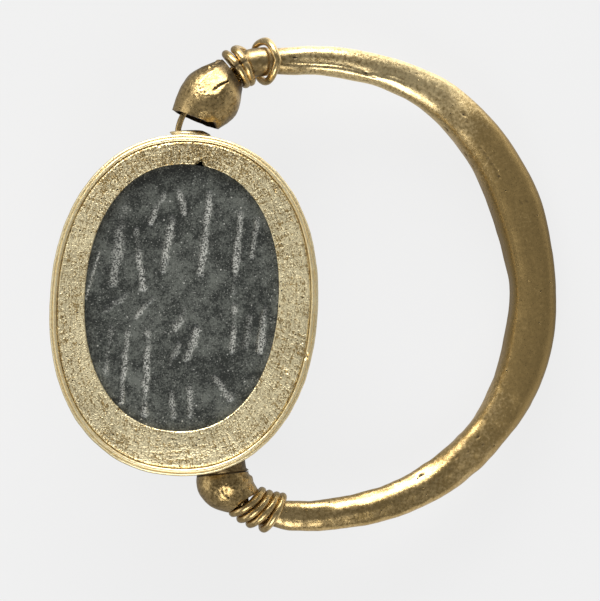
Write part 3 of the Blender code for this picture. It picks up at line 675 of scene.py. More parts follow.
def make_wire(material):
    """The wire along its route of (place, radius, turns round the rod)."""
    per_turn = 60
    upper = coil_knots(((0.43, -0.19), (0.86, -0.2)), COIL_WIRE)
    loose = FIRST_TURN + 0.51 + 1.22
    for turn, share in ((1.5, -1), (1.75, 0), (2, 1), (2.25, 0.1), (2.39, -0.75)):
        upper.append((turn, loose + 0.58 * share, 1.13, LOOSE_WIRE, 0))
    passes = ((0.49, 0.22), (1.01, 0.33), (1.5, 0.38), (2.02, 0.26))
    lower = coil_knots(passes, 0.228)
    _, distance, radius, wire, slant = lower[-1]
    lower.append((3.45, distance, radius, wire, slant))
    route = winding(UPPER_ROD, upper, per_turn)[::-1]
    loose_points = round(0.89 * per_turn)
    into_upper = BentLine(Vector((0, UPPER_END + 0.2)), 76, UPPER_NECK, UPPER_RUN)
    into_lower = BentLine(Vector((0, LOWER_END)), -90, LOWER_NECK, LOWER_RUN)
    steps = 26
    shares = [(i + 0.5) / steps for i in range(steps)]
    straight = [into_upper.at(into_upper.length * (1 - share))[0] for share in shares]
    straight += [Vector((0, UPPER_END * 0.6)), Vector((0, LOWER_END * 0.6))]
    straight += [into_lower.at(into_lower.length * share)[0] for share in shares]
    route += [(flat.to_3d(), SWIVEL_WIRE, OFF_ROD) for flat in straight]
    route += winding(LOWER_ROD, lower, per_turn)
    places = []
    up = UP
    for i, (point, _, _) in enumerate(route):
        before = route[max(i - 1, 0)][0]
        after = route[min(i + 1, len(route) - 1)][0]
        run = (after - before).normalized()
        side = up.cross(run).normalized()
        up = run.cross(side).normalized()
        places.append(ring_place(side, up, run, point))
    last = len(route) - 1

    def section(i, angle):
        _, wire, turn = route[i]
        radius = wire + rough(on_pattern(angle, 0.3, 0.3, i * 0.12), 1.2, 2) * 0.01
        tick = 0.0
        if i < last * 0.45 and -0.2 < turn < 1.3:
            # short chisel ticks across the fronts of the two tight turns
            front = abs((turn + 0.46) % 1 - 0.5)
            if front < 0.08:
                tick = max(0.0, sin(i * 1.57)) * bump(front, 0.08)
                radius -= 0.05 * tick
        radius *= ease(min(i, last - i) / 5 + 0.28) ** 0.5
        wide = 1.0 + 0.3 * ease(1 - i / loose_points * 3)
        return radius * cos(angle) / wide, radius * sin(angle) * wide, 0, tick

    bm = tube(places, section, sides=16)
    settle(bm, "wound_wire", material, "ring", "swivel_wire", 60)


# Bezel

BORDER_BOTTOM = FACE - BORDER_THICKNESS
FALL = 0.07
STONE_FACE = BORDER_BOTTOM - GAP
RIM_LEDGE = FACE - 0.01 - 2 * RIM_WIRE - GAP
ROLL_TOP = RIM_LEDGE + ROLL
ROLL_UNDER = ROLL_TOP - 3 * ROLL
BAND_TOP = BORDER_BOTTOM - GAP
BAND_FOOT_TOP = BAND_FOOT + BAND_WALL
BAND_WAIST = (BAND_FOOT_TOP + BAND_TOP) / 2


def border_relief(angle, share):
    """Height of the border's top at an angle and at a share of its width from the opening."""
    facing = degrees(angle)
    point = on_pattern(angle, 7, 9, share * 2)
    height = rough(point, 0.35, 2) * 0.03 + rough(point, 2.6, 3) * 0.01
    # falling a little to the rim, most at the lower end, and worn down there
    fall = FALL * (1 - 0.9 * bump(facing - 88, 62))
    height -= fall * share + 0.05 * ease((share - 0.92) / 0.08)
    height -= 0.1 * ease((share - 0.35) / 0.65) * bump(turn_gap(angle, radians(-82)), 0.62)
    height += 0.05 * bump(facing + 77, 9) * bump(share - 0.93, 0.1)
    # the lapped seam by the upper end, a wedge torn out of it and hair cracks above it
    wedge = 3.0 * (1 - share / 0.34)
    if share < 0.34:
        height -= 0.34 * ease((wedge - abs(facing - 85.4)) / 0.7)
    seam = 85.4 + 2.6 * ease((share - 0.2) / 0.8)
    height -= 0.06 * bump(facing - seam, 0.6) * (1 if 0.2 < share < 0.72 else 0)
    other = 93.8 + 2.4 * share
    height -= 0.04 * bump(facing - other, 0.5) * (1 if 0.08 < share < 0.6 else 0)
    for at, across, reach, depth in BORDER_PITS:
        along = (facing - at) * 0.13
        off = hypot(along, (share - across) * 1.7)
        if off < reach:
            height -= depth * bump(off, reach)
    return height


BORDER_PITS = (
    (-22.3, 0.62, 0.13, 0.16), (47, 0.8, 0.1, 0.08), (52, 0.97, 0.12, 0.1),
    (104, 0.93, 0.14, 0.08), (98, 0.96, 0.1, 0.06), (-40, 0.3, 0.08, 0.05),
    (-63, 0.55, 0.08, 0.05), (-75, 0.32, 0.07, 0.05), (-100, 0.5, 0.08, 0.04),
    (-128, 0.42, 0.08, 0.05), (-150, 0.7, 0.08, 0.05), (176, 0.4, 0.07, 0.04),
    (150, 0.55, 0.08, 0.05), (125, 0.35, 0.08, 0.05), (66, 0.5, 0.08, 0.05),
    (30, 0.4, 0.08, 0.04), (10, 0.66, 0.09, 0.05), (-8, 0.28, 0.07, 0.04),
)


def make_border(material):
    """The border, whose brushing follows it round: "grain" holds each place along and across."""
    rows = 30
    edge = 0.09
    profile = [(1.0, BORDER_BOTTOM), (1.0, FACE - edge)]
    for turn in (25, 50, 75):
        turn = radians(turn)
        out = 1.0 + 0.05 * (1 - cos(turn))
        profile.append((out, FACE - edge * (1 - sin(turn))))
    profile += [(1.05 + 0.935 * i / rows, FACE) for i in range(rows + 1)]
    profile += [(1.994, FACE - edge * 0.3), (2.0, FACE - edge), (2.0, BORDER_BOTTOM)]
    bm = lathe(profile, steps=900)
    grain = bm.verts.layers.float_vector.new("grain")
    for vert in bm.verts:
        angle, distance = polar(vert)
        share = distance - 1
        flat = opening(angle).lerp(bezel(angle, -RIM_WIDTH), share)
        height = vert.co.z
        if height > FACE - edge - 0.01:
            height += border_relief(angle, share)
        vert[grain] = (cos(angle) * 7.5, sin(angle) * 7.5, share * 1.7)
        vert.co = (*flat, max(height, BORDER_BOTTOM))
    settle(bm, "border_sheet", material, "scarab", "border_plate", 50)


def make_rim_wire(material):
    """The rim wire, spun far out and then brought in to the bezel's outline."""
    apart = 20
    sides = 12
    middle = -RIM_WIDTH + GAP + RIM_WIRE
    height = FACE - 0.01 - RIM_WIRE
    profile = []
    for turn in around(sides):
        out = apart + middle + RIM_WIRE * cos(turn)
        profile.append((out, height + RIM_WIRE * sin(turn)))
    bm = lathe(profile, steps=OUTLINE_STEPS)
    for vert in bm.verts:
        angle, distance = polar(vert)
        offset = distance - apart
        wave = rough(on_pattern(angle, 8, 9, 0), 0.8, 3)
        pinch = bump(degrees(turn_gap(angle, radians(-13.3))), 1.2)
        flat = bezel(angle, mix(offset, middle, 0.6 * pinch) + wave * 0.012)
        drop = 0.035 * wave + 0.12 * pinch + 0.02
        top = mix(vert.co.z, height, 0.6 * pinch) - drop
        vert.co = (*flat, max(top, RIM_LEDGE + 0.01) if top < height else top)
    settle(bm, "rim_bead", material, "scarab", "rim_wire", 70)


def band_down(height):
    """How far the band's wall has drawn in at a height, from its rolled edge to its foot."""
    if height <= BAND_FOOT_TOP:
        return 1.0
    if height < BAND_WAIST:
        share = (height - BAND_FOOT_TOP) / (BAND_WAIST - BAND_FOOT_TOP)
        return mix(1.0, BAND_BULGE, share)
    return max(0.0, BAND_BULGE * (ROLL_UNDER - height) / (ROLL_UNDER - BAND_WAIST))


def band_wall(angle, down, inward):
    top = bezel(angle, -RIM_WIDTH - inward)
    foot = opening(angle, STONE_OVERLAP + GAP + BAND_FOOT_WIDTH - inward)
    return top.lerp(foot, down)


def make_band(material):
    """The band: profile distances say which outline a point follows, and how far from it."""
    on_stone, on_wall, on_bezel = 100, 200, 300
    inner = -RIM_WIDTH + 2 * (GAP + RIM_WIRE)
    profile = [(on_stone, BAND_FOOT), (on_stone, BAND_FOOT_TOP)]
    steps = 6
    for i in range(steps + 1):
        profile.append((on_wall - BAND_WALL, mix(BAND_FOOT_TOP, BAND_TOP, i / steps)))
    step_out = on_bezel - RIM_WIDTH + 0.015
    profile += [(step_out, BAND_TOP), (step_out, RIM_LEDGE), (on_bezel + inner, RIM_LEDGE)]
    for i in range(9):
        turn = radians(150 - 30 * i)
        centre = on_bezel - ROLL
        profile.append((centre + ROLL * cos(turn), ROLL_TOP - ROLL + ROLL * sin(turn)))
    steps = 14
    for i in range(steps + 1):
        profile.append((on_wall, mix(ROLL_UNDER, BAND_FOOT_TOP, i / steps)))
    profile.append((on_wall, BAND_FOOT))
    bm = lathe(profile, steps=480)
    for vert in bm.verts:
        angle, distance = polar(vert)
        height = vert.co.z
        point = on_pattern(angle, 8, 9, height)
        if distance < (on_stone + on_wall) / 2:
            flat = opening(angle, STONE_OVERLAP + GAP)
        elif distance < (on_wall + on_bezel) / 2:
            flat = band_wall(angle, band_down(height), on_wall - distance)
            flat += flat.normalized() * rough(point, 0.9, 3) * 0.03
        else:
            offset = distance - on_bezel
            worn = min(offset, 0.0) + rough(point, 1.1, 3) * 0.02 - 0.02
            flat = bezel(angle, worn if offset > inner + 0.01 else offset)
        vert.co = (*flat, height)
    settle(bm, "bezel_wall", material, "scarab", "bezel_band", 50)


def wall_end(x, height, side):
    down = band_down(min(height, ROLL_UNDER))
    wall = [band_wall(angle, down, 0) for angle in around(OUTLINE_STEPS)]
    return min((p for p in wall if side * p.y > 0), key=lambda p: abs(p.x - x)).y


def make_collar(name, radius, shift, face, swell, flare, soil_and_painted_shade, material, node):
    """A plate on the band's end with the wire's hole: domed by swell, flared where it sits."""
    side = copysign(1, face)
    bore = 0.34
    rows = [(bore, 0.0, 0.0, 0)]
    for i in range(1, 6):
        turn = pi / 2 * i / 6
        reach = bore + (radius - bore) * sin(turn)
        rows.append((reach, shift * i / 6, swell * (1 - cos(turn)), flare * 0.1 * i / 6))
    rows += [(radius, shift, swell + 0.06, flare * 0.2), (radius, shift, swell + 0.2, flare * 0.6)]
    back = [
        (mix(radius, bore, s), shift * (1 - s), 0.0, (1 - s) * flare) for s in (0, 0.3, 0.6, 1)
    ]
    places = [Matrix.Rotation(pi / 2, 4, "X")] * len(rows + back)

    def section(i, angle):
        on_face = i < len(rows)
        reach, centre, depth, spread = (rows + back)[i]
        x = centre + reach * cos(angle)
        z = reach * sin(angle)
        y = face - side * depth if on_face else wall_end(x, z, side) + side * 0.06
        return x + spread * max(cos(angle), 0.0), z, -y, soil_and_painted_shade

    bm = tube(places, section, sides=40, closed=True)
    settle(bm, name, material, "scarab", node, 50)


# Stone

# Shallow strokes cut in rows: middle as shares of the opening's half width and half length,
# length as a share of the half length, lean in degrees, width in mm, depth in mm
STROKES = (
    (-0.69, 0.36, 0.54, 4, 0.48, 0.06), (-0.46, 0.27, 0.43, -10, 0.31, 0.11),
    (-0.32, 0.66, 0.23, 24, 0.28, 0.1), (-0.18, 0.39, 0.39, 7, 0.36, 0.13),
    (-0.06, 0.71, 0.16, -16, 0.27, 0.1), (0.2, 0.5, 0.59, 3, 0.36, 0.11),
    (0.54, 0.36, 0.58, 2, 0.31, 0.1), (0.71, 0.48, 0.26, 5, 0.27, 0.07),
    (-0.69, -0.08, 0.19, 50, 0.31, 0.09), (-0.39, -0.09, 0.17, 38, 0.3, 0.11),
    (-0.73, -0.42, 0.32, 4, 0.28, 0.06), (-0.55, -0.54, 0.52, 2, 0.28, 0.11),
    (-0.32, -0.58, 0.6, -1, 0.34, 0.13), (0, -0.16, 0.16, 20, 0.31, 0.1),
    (0.14, -0.34, 0.22, 16, 0.37, 0.1), (-0.04, -0.43, 0.16, 22, 0.31, 0.09),
    (0.55, -0.21, 0.34, 2, 0.27, 0.12), (0.7, -0.23, 0.2, 4, 0.39, 0.08),
    (0.85, -0.2, 0.31, 2, 0.31, 0.13), (-0.03, -0.8, 0.17, -8, 0.27, 0.09),
    (0.15, -0.78, 0.19, -5, 0.28, 0.08), (0.48, -0.66, 0.19, -38, 0.28, 0.07),
)


def stroke_depth(x, y):
    """How deep the cutting is at a place on the face, and how rubbed and light it is there."""
    depth = 0.0
    light = 0.0
    ragged = Vector((x, y, 0))
    wander = noise.noise(ragged * 1.3) * 0.1 + noise.noise(ragged * 4.5) * 0.07
    fray = noise.noise(ragged * 3.4 + Vector((5, 2, 9)))
    for across_at, along_at, reach, lean, width, deep in STROKES:
        dx, dy = x - across_at * OPENING_HALF[0], y - along_at * OPENING_HALF[1]
        length = reach * OPENING_HALF[1]
        if dx * dx + dy * dy > (length / 2 + 0.6) ** 2:
            continue
        c, s = cos(radians(lean)), sin(radians(lean))
        across = dx * c - dy * s + wander
        along = dx * s + dy * c
        beyond = max(abs(along) - length / 2, 0.0)
        worn = noise.noise(Vector((across_at * 9, along_at * 9, along * 0.9)))
        half = width * (0.5 + 0.25 * worn + 0.26 * fray)
        off = hypot(across, beyond)
        if off < half * 1.4:
            kept = ease(0.75 + 1.6 * worn)
            depth = max(depth, deep * ease((half * 1.2 - off) / (half * 0.6)) * (0.5 + 0.5 * kept))
            shown = ease((half * 1.4 - off) / (half * 1.0)) * min(deep / 0.11, 1.1)
            light = max(light, shown * (0.15 + 0.65 * kept))
    return depth, light


def scratch(x, y):
    """The long scratch by the left edge."""
    path = ((-4.75, 2.25), (-5.2, 0.3), (-5.35, -0.4))
    pairs = zip(path, path[1:])
    off = min(off_stretch(x - x0, y - y0, x1 - x0, y1 - y0) for (x0, y0), (x1, y1) in pairs)
    return bump(off, 0.09)


def beetle(across, along, climb_share):
    """How far the carving moves the back inward."""
    thorax = 0.36 - 0.12 * across * across
    head = 0.72 - 0.14 * across * across
    sink = 0.2 * ease((along - thorax) / 0.07 + 0.5)
    sink += 0.4 * ease((along - head) / 0.07 + 0.5)
    sink += 0.1 * bump(along - thorax, 0.035) + 0.1 * bump(along - head, 0.035)
    fade = 1 - climb_share**3
    if along < thorax:
        sink += 0.2 * bump(across, 0.045) * fade
        for line in (-0.42, 0.42):
            sink += 0.07 * bump(across - line * (1 - 0.25 * along), 0.03) * fade
    if along > head:
        for tooth in (-0.3, -0.1, 0.1, 0.3):
            sink += 0.12 * bump(across - tooth, 0.04) * ease((along - 0.86) / 0.06)
    if climb_share < 0.4:
        for leg, slant in ((0.6, 0.8), (0.1, -0.6), (-0.45, -0.8)):
            off = abs(along - leg - slant * (climb_share - 0.18))
            sink -= 0.3 * bump(off, 0.14)
            sink += 0.09 * bump(off, 0.022)
    return sink


def make_scarab(material):
    """The stone: a sunk inscribed face, an oval plinth and the beetle's back below."""
    face_rows = 92
    back_rows = 56
    plinth = -0.3
    waist = -0.55
    bottom = -AXIS_HEIGHT - REST_SPOT
    sides = (STONE_FACE, STONE_FACE - 0.1, 1.6, 0.6, plinth + 0.06, plinth)
    # heights that only say what a row belongs to, until it is shaped
    on_face, on_side, on_back = 100, 200, 300
    profile = [(i / face_rows, on_face) for i in range(face_rows + 1)]
    profile += [(1, on_side + i) for i in range(len(sides))]
    profile += [(1 - (i + 1) / back_rows, on_back) for i in range(back_rows)]
    bm = lathe(profile, steps=420, closed=False)
    bmesh.ops.remove_doubles(bm, verts=bm.verts, dist=1e-5)
    half = [h + STONE_OVERLAP for h in OPENING_HALF]
    back = [h + STONE_OVERLAP - 0.28 for h in OPENING_HALF]
    centre = Vector(OPENING_CENTRE)
    unturn = Matrix.Rotation(-LEAN, 2)
    layer = bm.verts.layers.float.new("rubbed_and_painted_light")
    for vert in bm.verts:
        angle, share = polar(vert)
        kind = vert.co.z
        if kind < (on_face + on_side) / 2:
            flat = oval_point(angle, half[0] * share, half[1] * share, centre)
            local = unturn @ (flat - centre)
            depth, light = stroke_depth(local.x, local.y)
            line = scratch(local.x, local.y)
            point = local.to_3d()
            grain = noise.noise(point * 9)
            sunk = depth * (1 + 0.5 * grain) + 0.04 * line + 0.012 * grain
            sunk -= rough(point, 0.5, 3) * 0.03 - 0.02
            vert[layer] = max(light, line)
            vert.co = (*flat, STONE_FACE - max(sunk, 0.0))
        elif kind < (on_side + on_back) / 2:
            row = int(round(kind - on_side))
            flat = oval_point(angle, half[0], half[1], centre)
            chip = 0.04 * max(rough(Vector((*flat, row)), 1.1, 2), 0)
            flat -= (flat - centre).normalized() * chip
            vert.co = (*flat, sides[row])
        else:
            climb = pi / 2 * (1 - share)
            size = max(cos(climb), 0.0) ** 0.8
            flat = oval_point(angle, back[0] * size, back[1] * size, centre)
            local = unturn @ (flat - centre)
            sink = beetle(local.x / back[0], local.y / back[1], 1 - share)
            point = Vector((*flat, climb * 3))
            sink += rough(point, 0.8, 3) * 0.04 + noise.noise(point * 7) * 0.008
            out = flat - centre
            out = out.normalized() if out.length > 1e-6 else out
            flat -= out * sink * cos(climb)
            height = waist - (waist - bottom) * sin(climb) ** 0.86 + sink * sin(climb)
            vert.co = (*flat, max(height, -AXIS_HEIGHT))
    settle(bm, "carved_scarab", material, "scarab", "scarab", 55)


# Materials


class Value:
    """A number output in a material, so that shader maths reads as plain arithmetic."""

    def __init__(self, maker, socket):
        self.maker = maker
        self.socket = socket

    def _math(self, operation, a, b=None):
        values = {0: a} if b is None else {0: a, 1: b}
        return self.maker.number("ShaderNodeMath", {"operation": operation}, values)

    def __add__(self, other):
        return self._math("ADD", self, other)

    def __radd__(self, other):
        return self._math("ADD", other, self)

    def __sub__(self, other):
        return self._math("SUBTRACT", self, other)

    def __rsub__(self, other):
        return self._math("SUBTRACT", other, self)

    def __mul__(self, other):
        return self._math("MULTIPLY", self, other)

    def __rmul__(self, other):
        return self._math("MULTIPLY", other, self)

    def __abs__(self):
        return self._math("ABSOLUTE", self)

    def clamp(self):
        settings = {"operation": "ADD", "use_clamp": True}
        return self.maker.number("ShaderNodeMath", settings, {0: self, 1: 0.0})


class Finish:
    """Builds one material's nodes."""

    def __init__(self, name, roughness, metallic):
        self.material = bpy.data.materials.new(name)
        self.material.use_nodes = True
        self.tree = self.material.node_tree
        self.shader = self.tree.nodes["Principled BSDF"]
        self.shader.inputs["Metallic"].default_value = metallic
        self.shader.inputs["Roughness"].default_value = roughness
        self.object = self.node("ShaderNodeTexCoord", {}, {}).outputs["Object"]

    def node(self, kind, settings, values):
        node = self.tree.nodes.new(kind)
        for key, value in settings.items():
            setattr(node, key, value)
        for key, value in values.items():
            value = value.socket if isinstance(value, Value) else value
            if isinstance(value, bpy.types.NodeSocket):
                self.tree.links.new(value, node.inputs[key])
            else:
                node.inputs[key].default_value = value
        return node

    def number(self, kind, settings, values, output=0):
        return Value(self, self.node(kind, settings, values).outputs[output])

    def place(self, axis):
        """Where a point is along X or Y, in metres."""
        return self.number("ShaderNodeSeparateXYZ", {}, {"Vector": self.object}, axis)

    def noise(self, scale, detail):
        """Noise whose scale is in bumps a millimetre."""
        values = {"Vector": self.object, "Scale": scale / METRE, "Detail": detail}
        return self.number("ShaderNodeTexNoise", {}, values)

    def strokes(self, scale, stretch):
        """Noise drawn out along a piece's own grain, which is kept in millimetres."""
        grain = self.number("ShaderNodeAttribute", {"attribute_name": "grain"}, {}, "Vector")
        place = self.number("ShaderNodeMapping", {}, {"Vector": grain, "Scale": stretch})
        values = {"Vector": place, "Scale": scale, "Detail": 2.0}
        return self.number("ShaderNodeTexNoise", {}, values)

    def spots(self, scale, size, patches, low, high):
        """Small round spots, 1 inside and 0 outside, where a noise of patches is high."""
        values = {"Vector": self.object, "Scale": scale / METRE}
        away = self.number("ShaderNodeTexVoronoi", {}, values)
        spot = self.ramp(away, (size * 0.6, 1.0), (size, 0.0))
        return (spot * self.ramp(self.noise(patches, 2), (low, 0.0), (high, 1.0))).clamp()

    def ramp(self, value, low, high):
        """A rise or fall from one (value, result) to another, level beyond them."""
        values = {"Value": value, "From Min": low[0], "From Max": high[0]}
        values.update({"To Min": low[1], "To Max": high[1]})
        return self.number("ShaderNodeMapRange", {"clamp": True}, values)

    def colour(self, a, b, factor):
        """A colour between two colours or colour outputs."""
        a, b = (v if isinstance(v, bpy.types.NodeSocket) else (*v, 1) for v in (a, b))
        node = self.node("ShaderNodeMix", {"data_type": "RGBA"}, {0: factor, 6: a, 7: b})
        return node.outputs[2]

    def attribute(self, name):
        return self.number("ShaderNodeAttribute", {"attribute_name": name}, {}, "Fac")

    def set(self, name, value):
        socket = value.socket if isinstance(value, Value) else value
        self.tree.links.new(socket, self.shader.inputs[name])

    def relief(self, *layers):
        """Bumps one on another, each a height and its depth in millimetres."""
        normal = {}
        for height, depth in layers:
            values = {"Height": height, "Distance": depth * METRE, "Strength": 1.0, **normal}
            normal = {"Normal": self.number("ShaderNodeBump", {}, values)}
        self.set("Normal", normal["Normal"])


GOLD = (0.68, 0.5, 0.24)
DEEP_GOLD = (0.46, 0.32, 0.13)
DULL_GOLD = (0.42, 0.29, 0.115)
PALE_GOLD = (0.93, 0.74, 0.4)
BRIGHT_GOLD = (1.0, 0.87, 0.55)
SHADED_GOLD = (0.24, 0.16, 0.06)
CAP_GOLD = (0.61, 0.44, 0.2)
# the dark colour of soil, also used for painted shade
SOIL_AND_SHADE = (0.05, 0.038, 0.026)
STONE_DARK = (0.013, 0.015, 0.012)
STONE_LIGHT = (0.115, 0.122, 0.105)
RUBBED = (0.5, 0.5, 0.45)
FLECK = (0.42, 0.42, 0.38)


def polished_gold(name, tones, roughness, grain_depth, dirt_and_shade):
    """Old polished gold with a fine grain, specks of soil and small pits, duller at the crown.
    Painted shade darkens the crown and the hoop's lower arm, painted light pales its upper arm,
    and the soil attribute carries painted shade as well as soil.
    """
    f = Finish(name, roughness, 1.0)
    across = f.place("X")
    along = f.place("Y")
    dull = f.ramp(across, (0.0125, 0.0), (0.0165, 0.14))
    # painted shade darkens the hoop's crown
    painted_crown_shade = f.ramp(across, (0.0158, 0.0), (0.018, 1.1))
    cloud = f.noise(0.4, 4)
    grain = f.noise(6, 5)
    fine = f.noise(18, 3)
    pit = f.spots(2.0, 0.11, 0.8, 0.48, 0.56)
    speck = f.ramp(fine, (0.62, 0.0), (0.69, 0.8))
    # this attribute holds soil and painted shade
    soil_and_shade = f.attribute("soil_and_shade")
    tone = (cloud - 0.5) * 2.0 + (grain - 0.5) * 3.0 + (fine - 0.5) * 2.6 + 0.56 - painted_crown_shade
    # painted light makes the hoop's upper arm paler, and painted shade makes its lower one darker
    past_caps = f.ramp(across, (0.005, 0.0), (0.008, 1.0))
    rubbed_and_painted_light = past_caps * f.ramp(along, (0.0075, 0.0), (0.0115, 0.78))
    shaded = past_caps * f.ramp(along, (-0.011, 0.3), (-0.0075, 0.0))
    base = f.colour(*tones, (tone - shaded).clamp())
    base = f.colour(base, PALE_GOLD, (rubbed_and_painted_light * (0.4 + tone)).clamp())
    base = f.colour(base, SOIL_AND_SHADE, ((pit + speck) * dirt_and_shade + soil_and_shade).clamp())
    f.set("Base Color", base)
    worn = roughness + dull + (grain - 0.5) * 0.2 + pit * 0.2 + soil_and_shade * 0.2
    f.set("Roughness", worn.clamp())
    f.relief((cloud, 0.02), (grain, grain_depth), (fine, grain_depth * 0.3), (1.0 - pit, 0.03))
    return f.material


def brushed_gold(name):
    """The border's gold, worn matt and granular by rubbing round it and across it, with painted
    shade darkening it towards the top.
    """
    f = Finish(name, 0.42, 1.0)
    cloud = f.noise(0.35, 4)
    crumb = f.noise(11, 1)
    fine = f.noise(12, 1)
    round_it = f.strokes(8.5, (0.18, 0.18, 1.0))
    across_it = f.strokes(8, (1.0, 1.0, 0.14))
    pit = f.spots(2.6, 0.15, 1.2, 0.46, 0.53)
    # painted shade: the border is darker and more specked towards its top
    top = f.ramp(f.place("Y"), (0.004, 0.0), (0.009, 1.0))
    speck = f.ramp(fine + top * 0.06, (0.66, 0.0), (0.73, 0.8))
    spark = f.ramp(f.noise(13, 1), (0.55, 0.0), (0.64, 1.0))
    rubbing = (round_it - 0.5) * 4.0 + (across_it - 0.5) * 3.8
    tone = (crumb - 0.5) * 4.6 + rubbing + (cloud - 0.5) * 1.2 + 0.8 - top * 0.8
    base = f.colour(DEEP_GOLD, BRIGHT_GOLD, tone.clamp())
    long_scratch = f.ramp(f.strokes(6, (0.05, 0.05, 1.0)), (0.62, 0.0), (0.66, 0.8))
    cross_scratch = f.ramp(f.strokes(5, (1.0, 1.0, 0.04)), (0.64, 0.0), (0.68, 0.8))
    base = f.colour(base, BRIGHT_GOLD, (spark + long_scratch + cross_scratch).clamp())
    base = f.colour(base, SOIL_AND_SHADE, (pit + speck).clamp())
    f.set("Base Color", base)
    f.set("Roughness", (0.4 + (cloud - 0.5) * 0.2 + (crumb - 0.5) * 0.3).clamp())
    f.relief((cloud, 0.02), (round_it, 0.022), (across_it, 0.02), (crumb, 0.03), (1.0 - pit, 0.05))
    return f.material


def carved_stone(name):
    """Dark cloudy stone with pale flecks, its cuttings rubbed light and granular."""
    f = Finish(name, 0.5, 0.0)
    cloud = f.noise(0.5, 5)
    patch = f.noise(1.5, 3)
    grain = f.noise(7, 3)
    fine = f.noise(12, 2)
    fleck = f.spots(2.2, 0.12, 1.0, 0.45, 0.53)
    rubbed_and_painted_light = f.attribute("rubbed_and_painted_light")
    crumbs = f.ramp(fine, (0.43, 0.05), (0.58, 1.0))
    mottling = (cloud - 0.5) * 2.0 + (patch - 0.5) * 2.0
    tone = mottling + (grain - 0.5) * 2.0 + (fine - 0.5) * 2.0 + 0.36
    point = f.ramp(f.noise(11, 1), (0.67, 0.0), (0.74, 0.8))
    base = f.colour(STONE_DARK, STONE_LIGHT, tone.clamp())
    base = f.colour(base, RUBBED, (rubbed_and_painted_light * crumbs * 1.3).clamp())
    base = f.colour(base, FLECK, (fleck + point).clamp())
    f.set("Base Color", base)
    f.set("Roughness", (0.46 + (cloud - 0.5) * 0.2 + rubbed_and_painted_light * 0.3).clamp())
    f.relief((cloud, 0.02), (grain, 0.012), (fine * (0.4 + rubbed_and_painted_light), 0.016))
    return f.material


hoop_gold = polished_gold("hoop_gold_worn_painted_light_and_shade", (DULL_GOLD, GOLD), 0.28, 0.01, 0.9)
cap_gold = polished_gold("cap_gold_worn_and_painted_shade", (SHADED_GOLD, CAP_GOLD), 0.3, 0.016, 1.0)
wire_gold = polished_gold("wire_gold_worn", (DEEP_GOLD, GOLD), 0.28, 0.006, 0.8)
# the rim, the bezel wall and the upper collar take a paler copy of the gold: painted light
rim_gold = polished_gold("rim_gold_worn_and_painted_light", (PALE_GOLD, BRIGHT_GOLD), 0.42, 0.014, 0.7)
border_gold = brushed_gold("border_gold_brushed")
stone = carved_stone("dark_stone")

make_hoop(hoop_gold)
make_upper_cap(cap_gold)
make_lower_cap(cap_gold)
make_wire(wire_gold)
make_border(border_gold)
make_rim_wire(rim_gold)
make_band(rim_gold)
make_collar(
    "upper_collar_plate", 0.9, 0.55, UPPER_END + 0.2, 0.14, 0.55, 0, rim_gold, "upper_collar"
)
# The lower collar, tucked under the rim, is darkened with painted shade.
make_collar(
    "lower_collar_plate", 1.48, 1.0, LOWER_END, 0.0, -0.35, 0.6, cap_gold, "lower_collar"
)
make_scarab(stone)


# Floor, light and camera


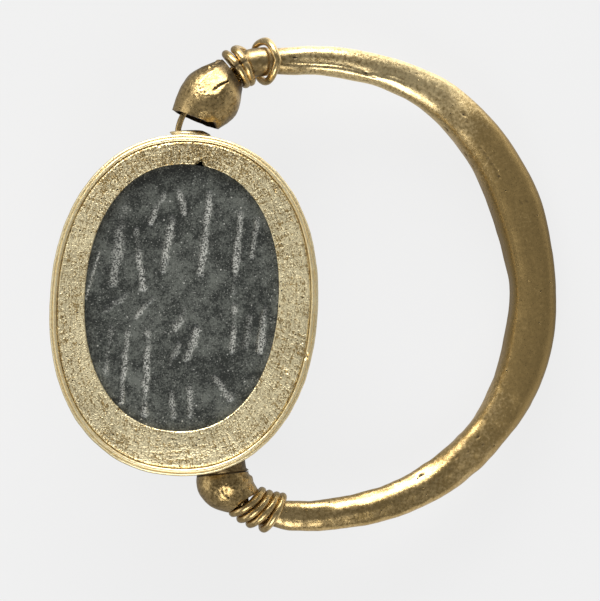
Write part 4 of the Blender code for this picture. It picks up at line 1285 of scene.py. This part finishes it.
def make_floor():
    """A pale floor that glows as a light: the camera sees it evenly bright, and the metal reflects
    it unevenly, dim near the ring's middle and brightest far towards +Y.
    """
    bm = bmesh.new()
    bmesh.ops.create_grid(bm, x_segments=1, y_segments=1, size=1.5)
    mesh = bpy.data.meshes.new("pale_floor")
    bm.to_mesh(mesh)
    bm.free()
    f = Finish("glowing_paper", 0.9, 0.0)
    seen = f.number("ShaderNodeLightPath", {}, {}, "Is Camera Ray")
    across = f.place("X")
    along = f.place("Y")
    strip = f.ramp(abs(along), (0.003, 0.0), (0.015, 1.0))
    strip = strip * f.ramp(across, (0.002, 0.0), (0.008, 1.0))
    far = f.ramp(along, (0.009, 0.0), (0.016, 1.0))
    near_glow, pale_glow, far_glow = ((level,) * 3 for level in (0.26, 0.8, 1.7))
    glow = f.colour(near_glow, f.colour(pale_glow, far_glow, far), strip)
    f.set("Emission Color", f.colour(glow, pale_glow, seen))
    f.shader.inputs["Base Color"].default_value = (0.05, 0.05, 0.05, 1)
    f.shader.inputs["Emission Strength"].default_value = 1.0
    mesh.materials.append(f.material)
    floor = add_object("pale_floor", mesh)
    floor.location.z = -0.0002


def add_softbox(name, azimuth, elevation, width, height, watts):
    """A soft rectangular light that looks at the ring from an azimuth and a height."""
    distance = 0.5
    light = bpy.data.lights.new(name, "AREA")
    light.shape = "RECTANGLE"
    light.size = width
    light.size_y = height
    light.energy = watts
    lamp = add_object(name, light)
    a, e = radians(azimuth), radians(elevation)
    back = Vector((cos(a) * cos(e), sin(a) * cos(e), sin(e)))
    target = Vector((6, 0, 3)) * METRE
    lamp.location = target + back * distance
    lamp.rotation_mode = "QUATERNION"
    lamp.rotation_quaternion = (-back).to_track_quat("-Z", "Y")


def light_scene():
    """Four softboxes (azimuth, elevation, width, height, watts) in an even grey room."""
    world = bpy.data.worlds.new("studio")
    world.use_nodes = True
    background = world.node_tree.nodes["Background"]
    background.inputs["Color"].default_value = (1, 1, 1, 1)
    background.inputs["Strength"].default_value = 0.225
    bpy.context.scene.world = world
    add_softbox("top_softbox", 96, 22, 0.46, 0.31, 4.1)
    add_softbox("lower_softbox", -99, 42, 0.22, 0.32, 1.2)
    add_softbox("left_softbox", 180, 17, 0.5, 0.2, 0.44)
    add_softbox("right_softbox", 0, 15, 1.0, 0.2, 0.2)
    bpy.context.scene.view_settings.view_transform = "Standard"


def place_camera():
    """Straight above, with the swivel axis leaning a little to the left in the picture."""
    distance = 1000.0
    image_height = 601
    millimetres_per_pixel = 0.056
    picture_turn = radians(-4.69)
    data = bpy.data.cameras.new("camera")
    data.sensor_width = 36
    data.lens = data.sensor_width * distance / (image_height * millimetres_per_pixel)
    data.clip_start = 0.1
    data.clip_end = 10
    camera = add_object("camera", data)
    camera.location = Vector((6.04, -0.33, distance + AXIS_HEIGHT)) * METRE
    camera.rotation_euler = (0, 0, picture_turn)
    bpy.context.scene.camera = camera


make_floor()
light_scene()
place_camera()
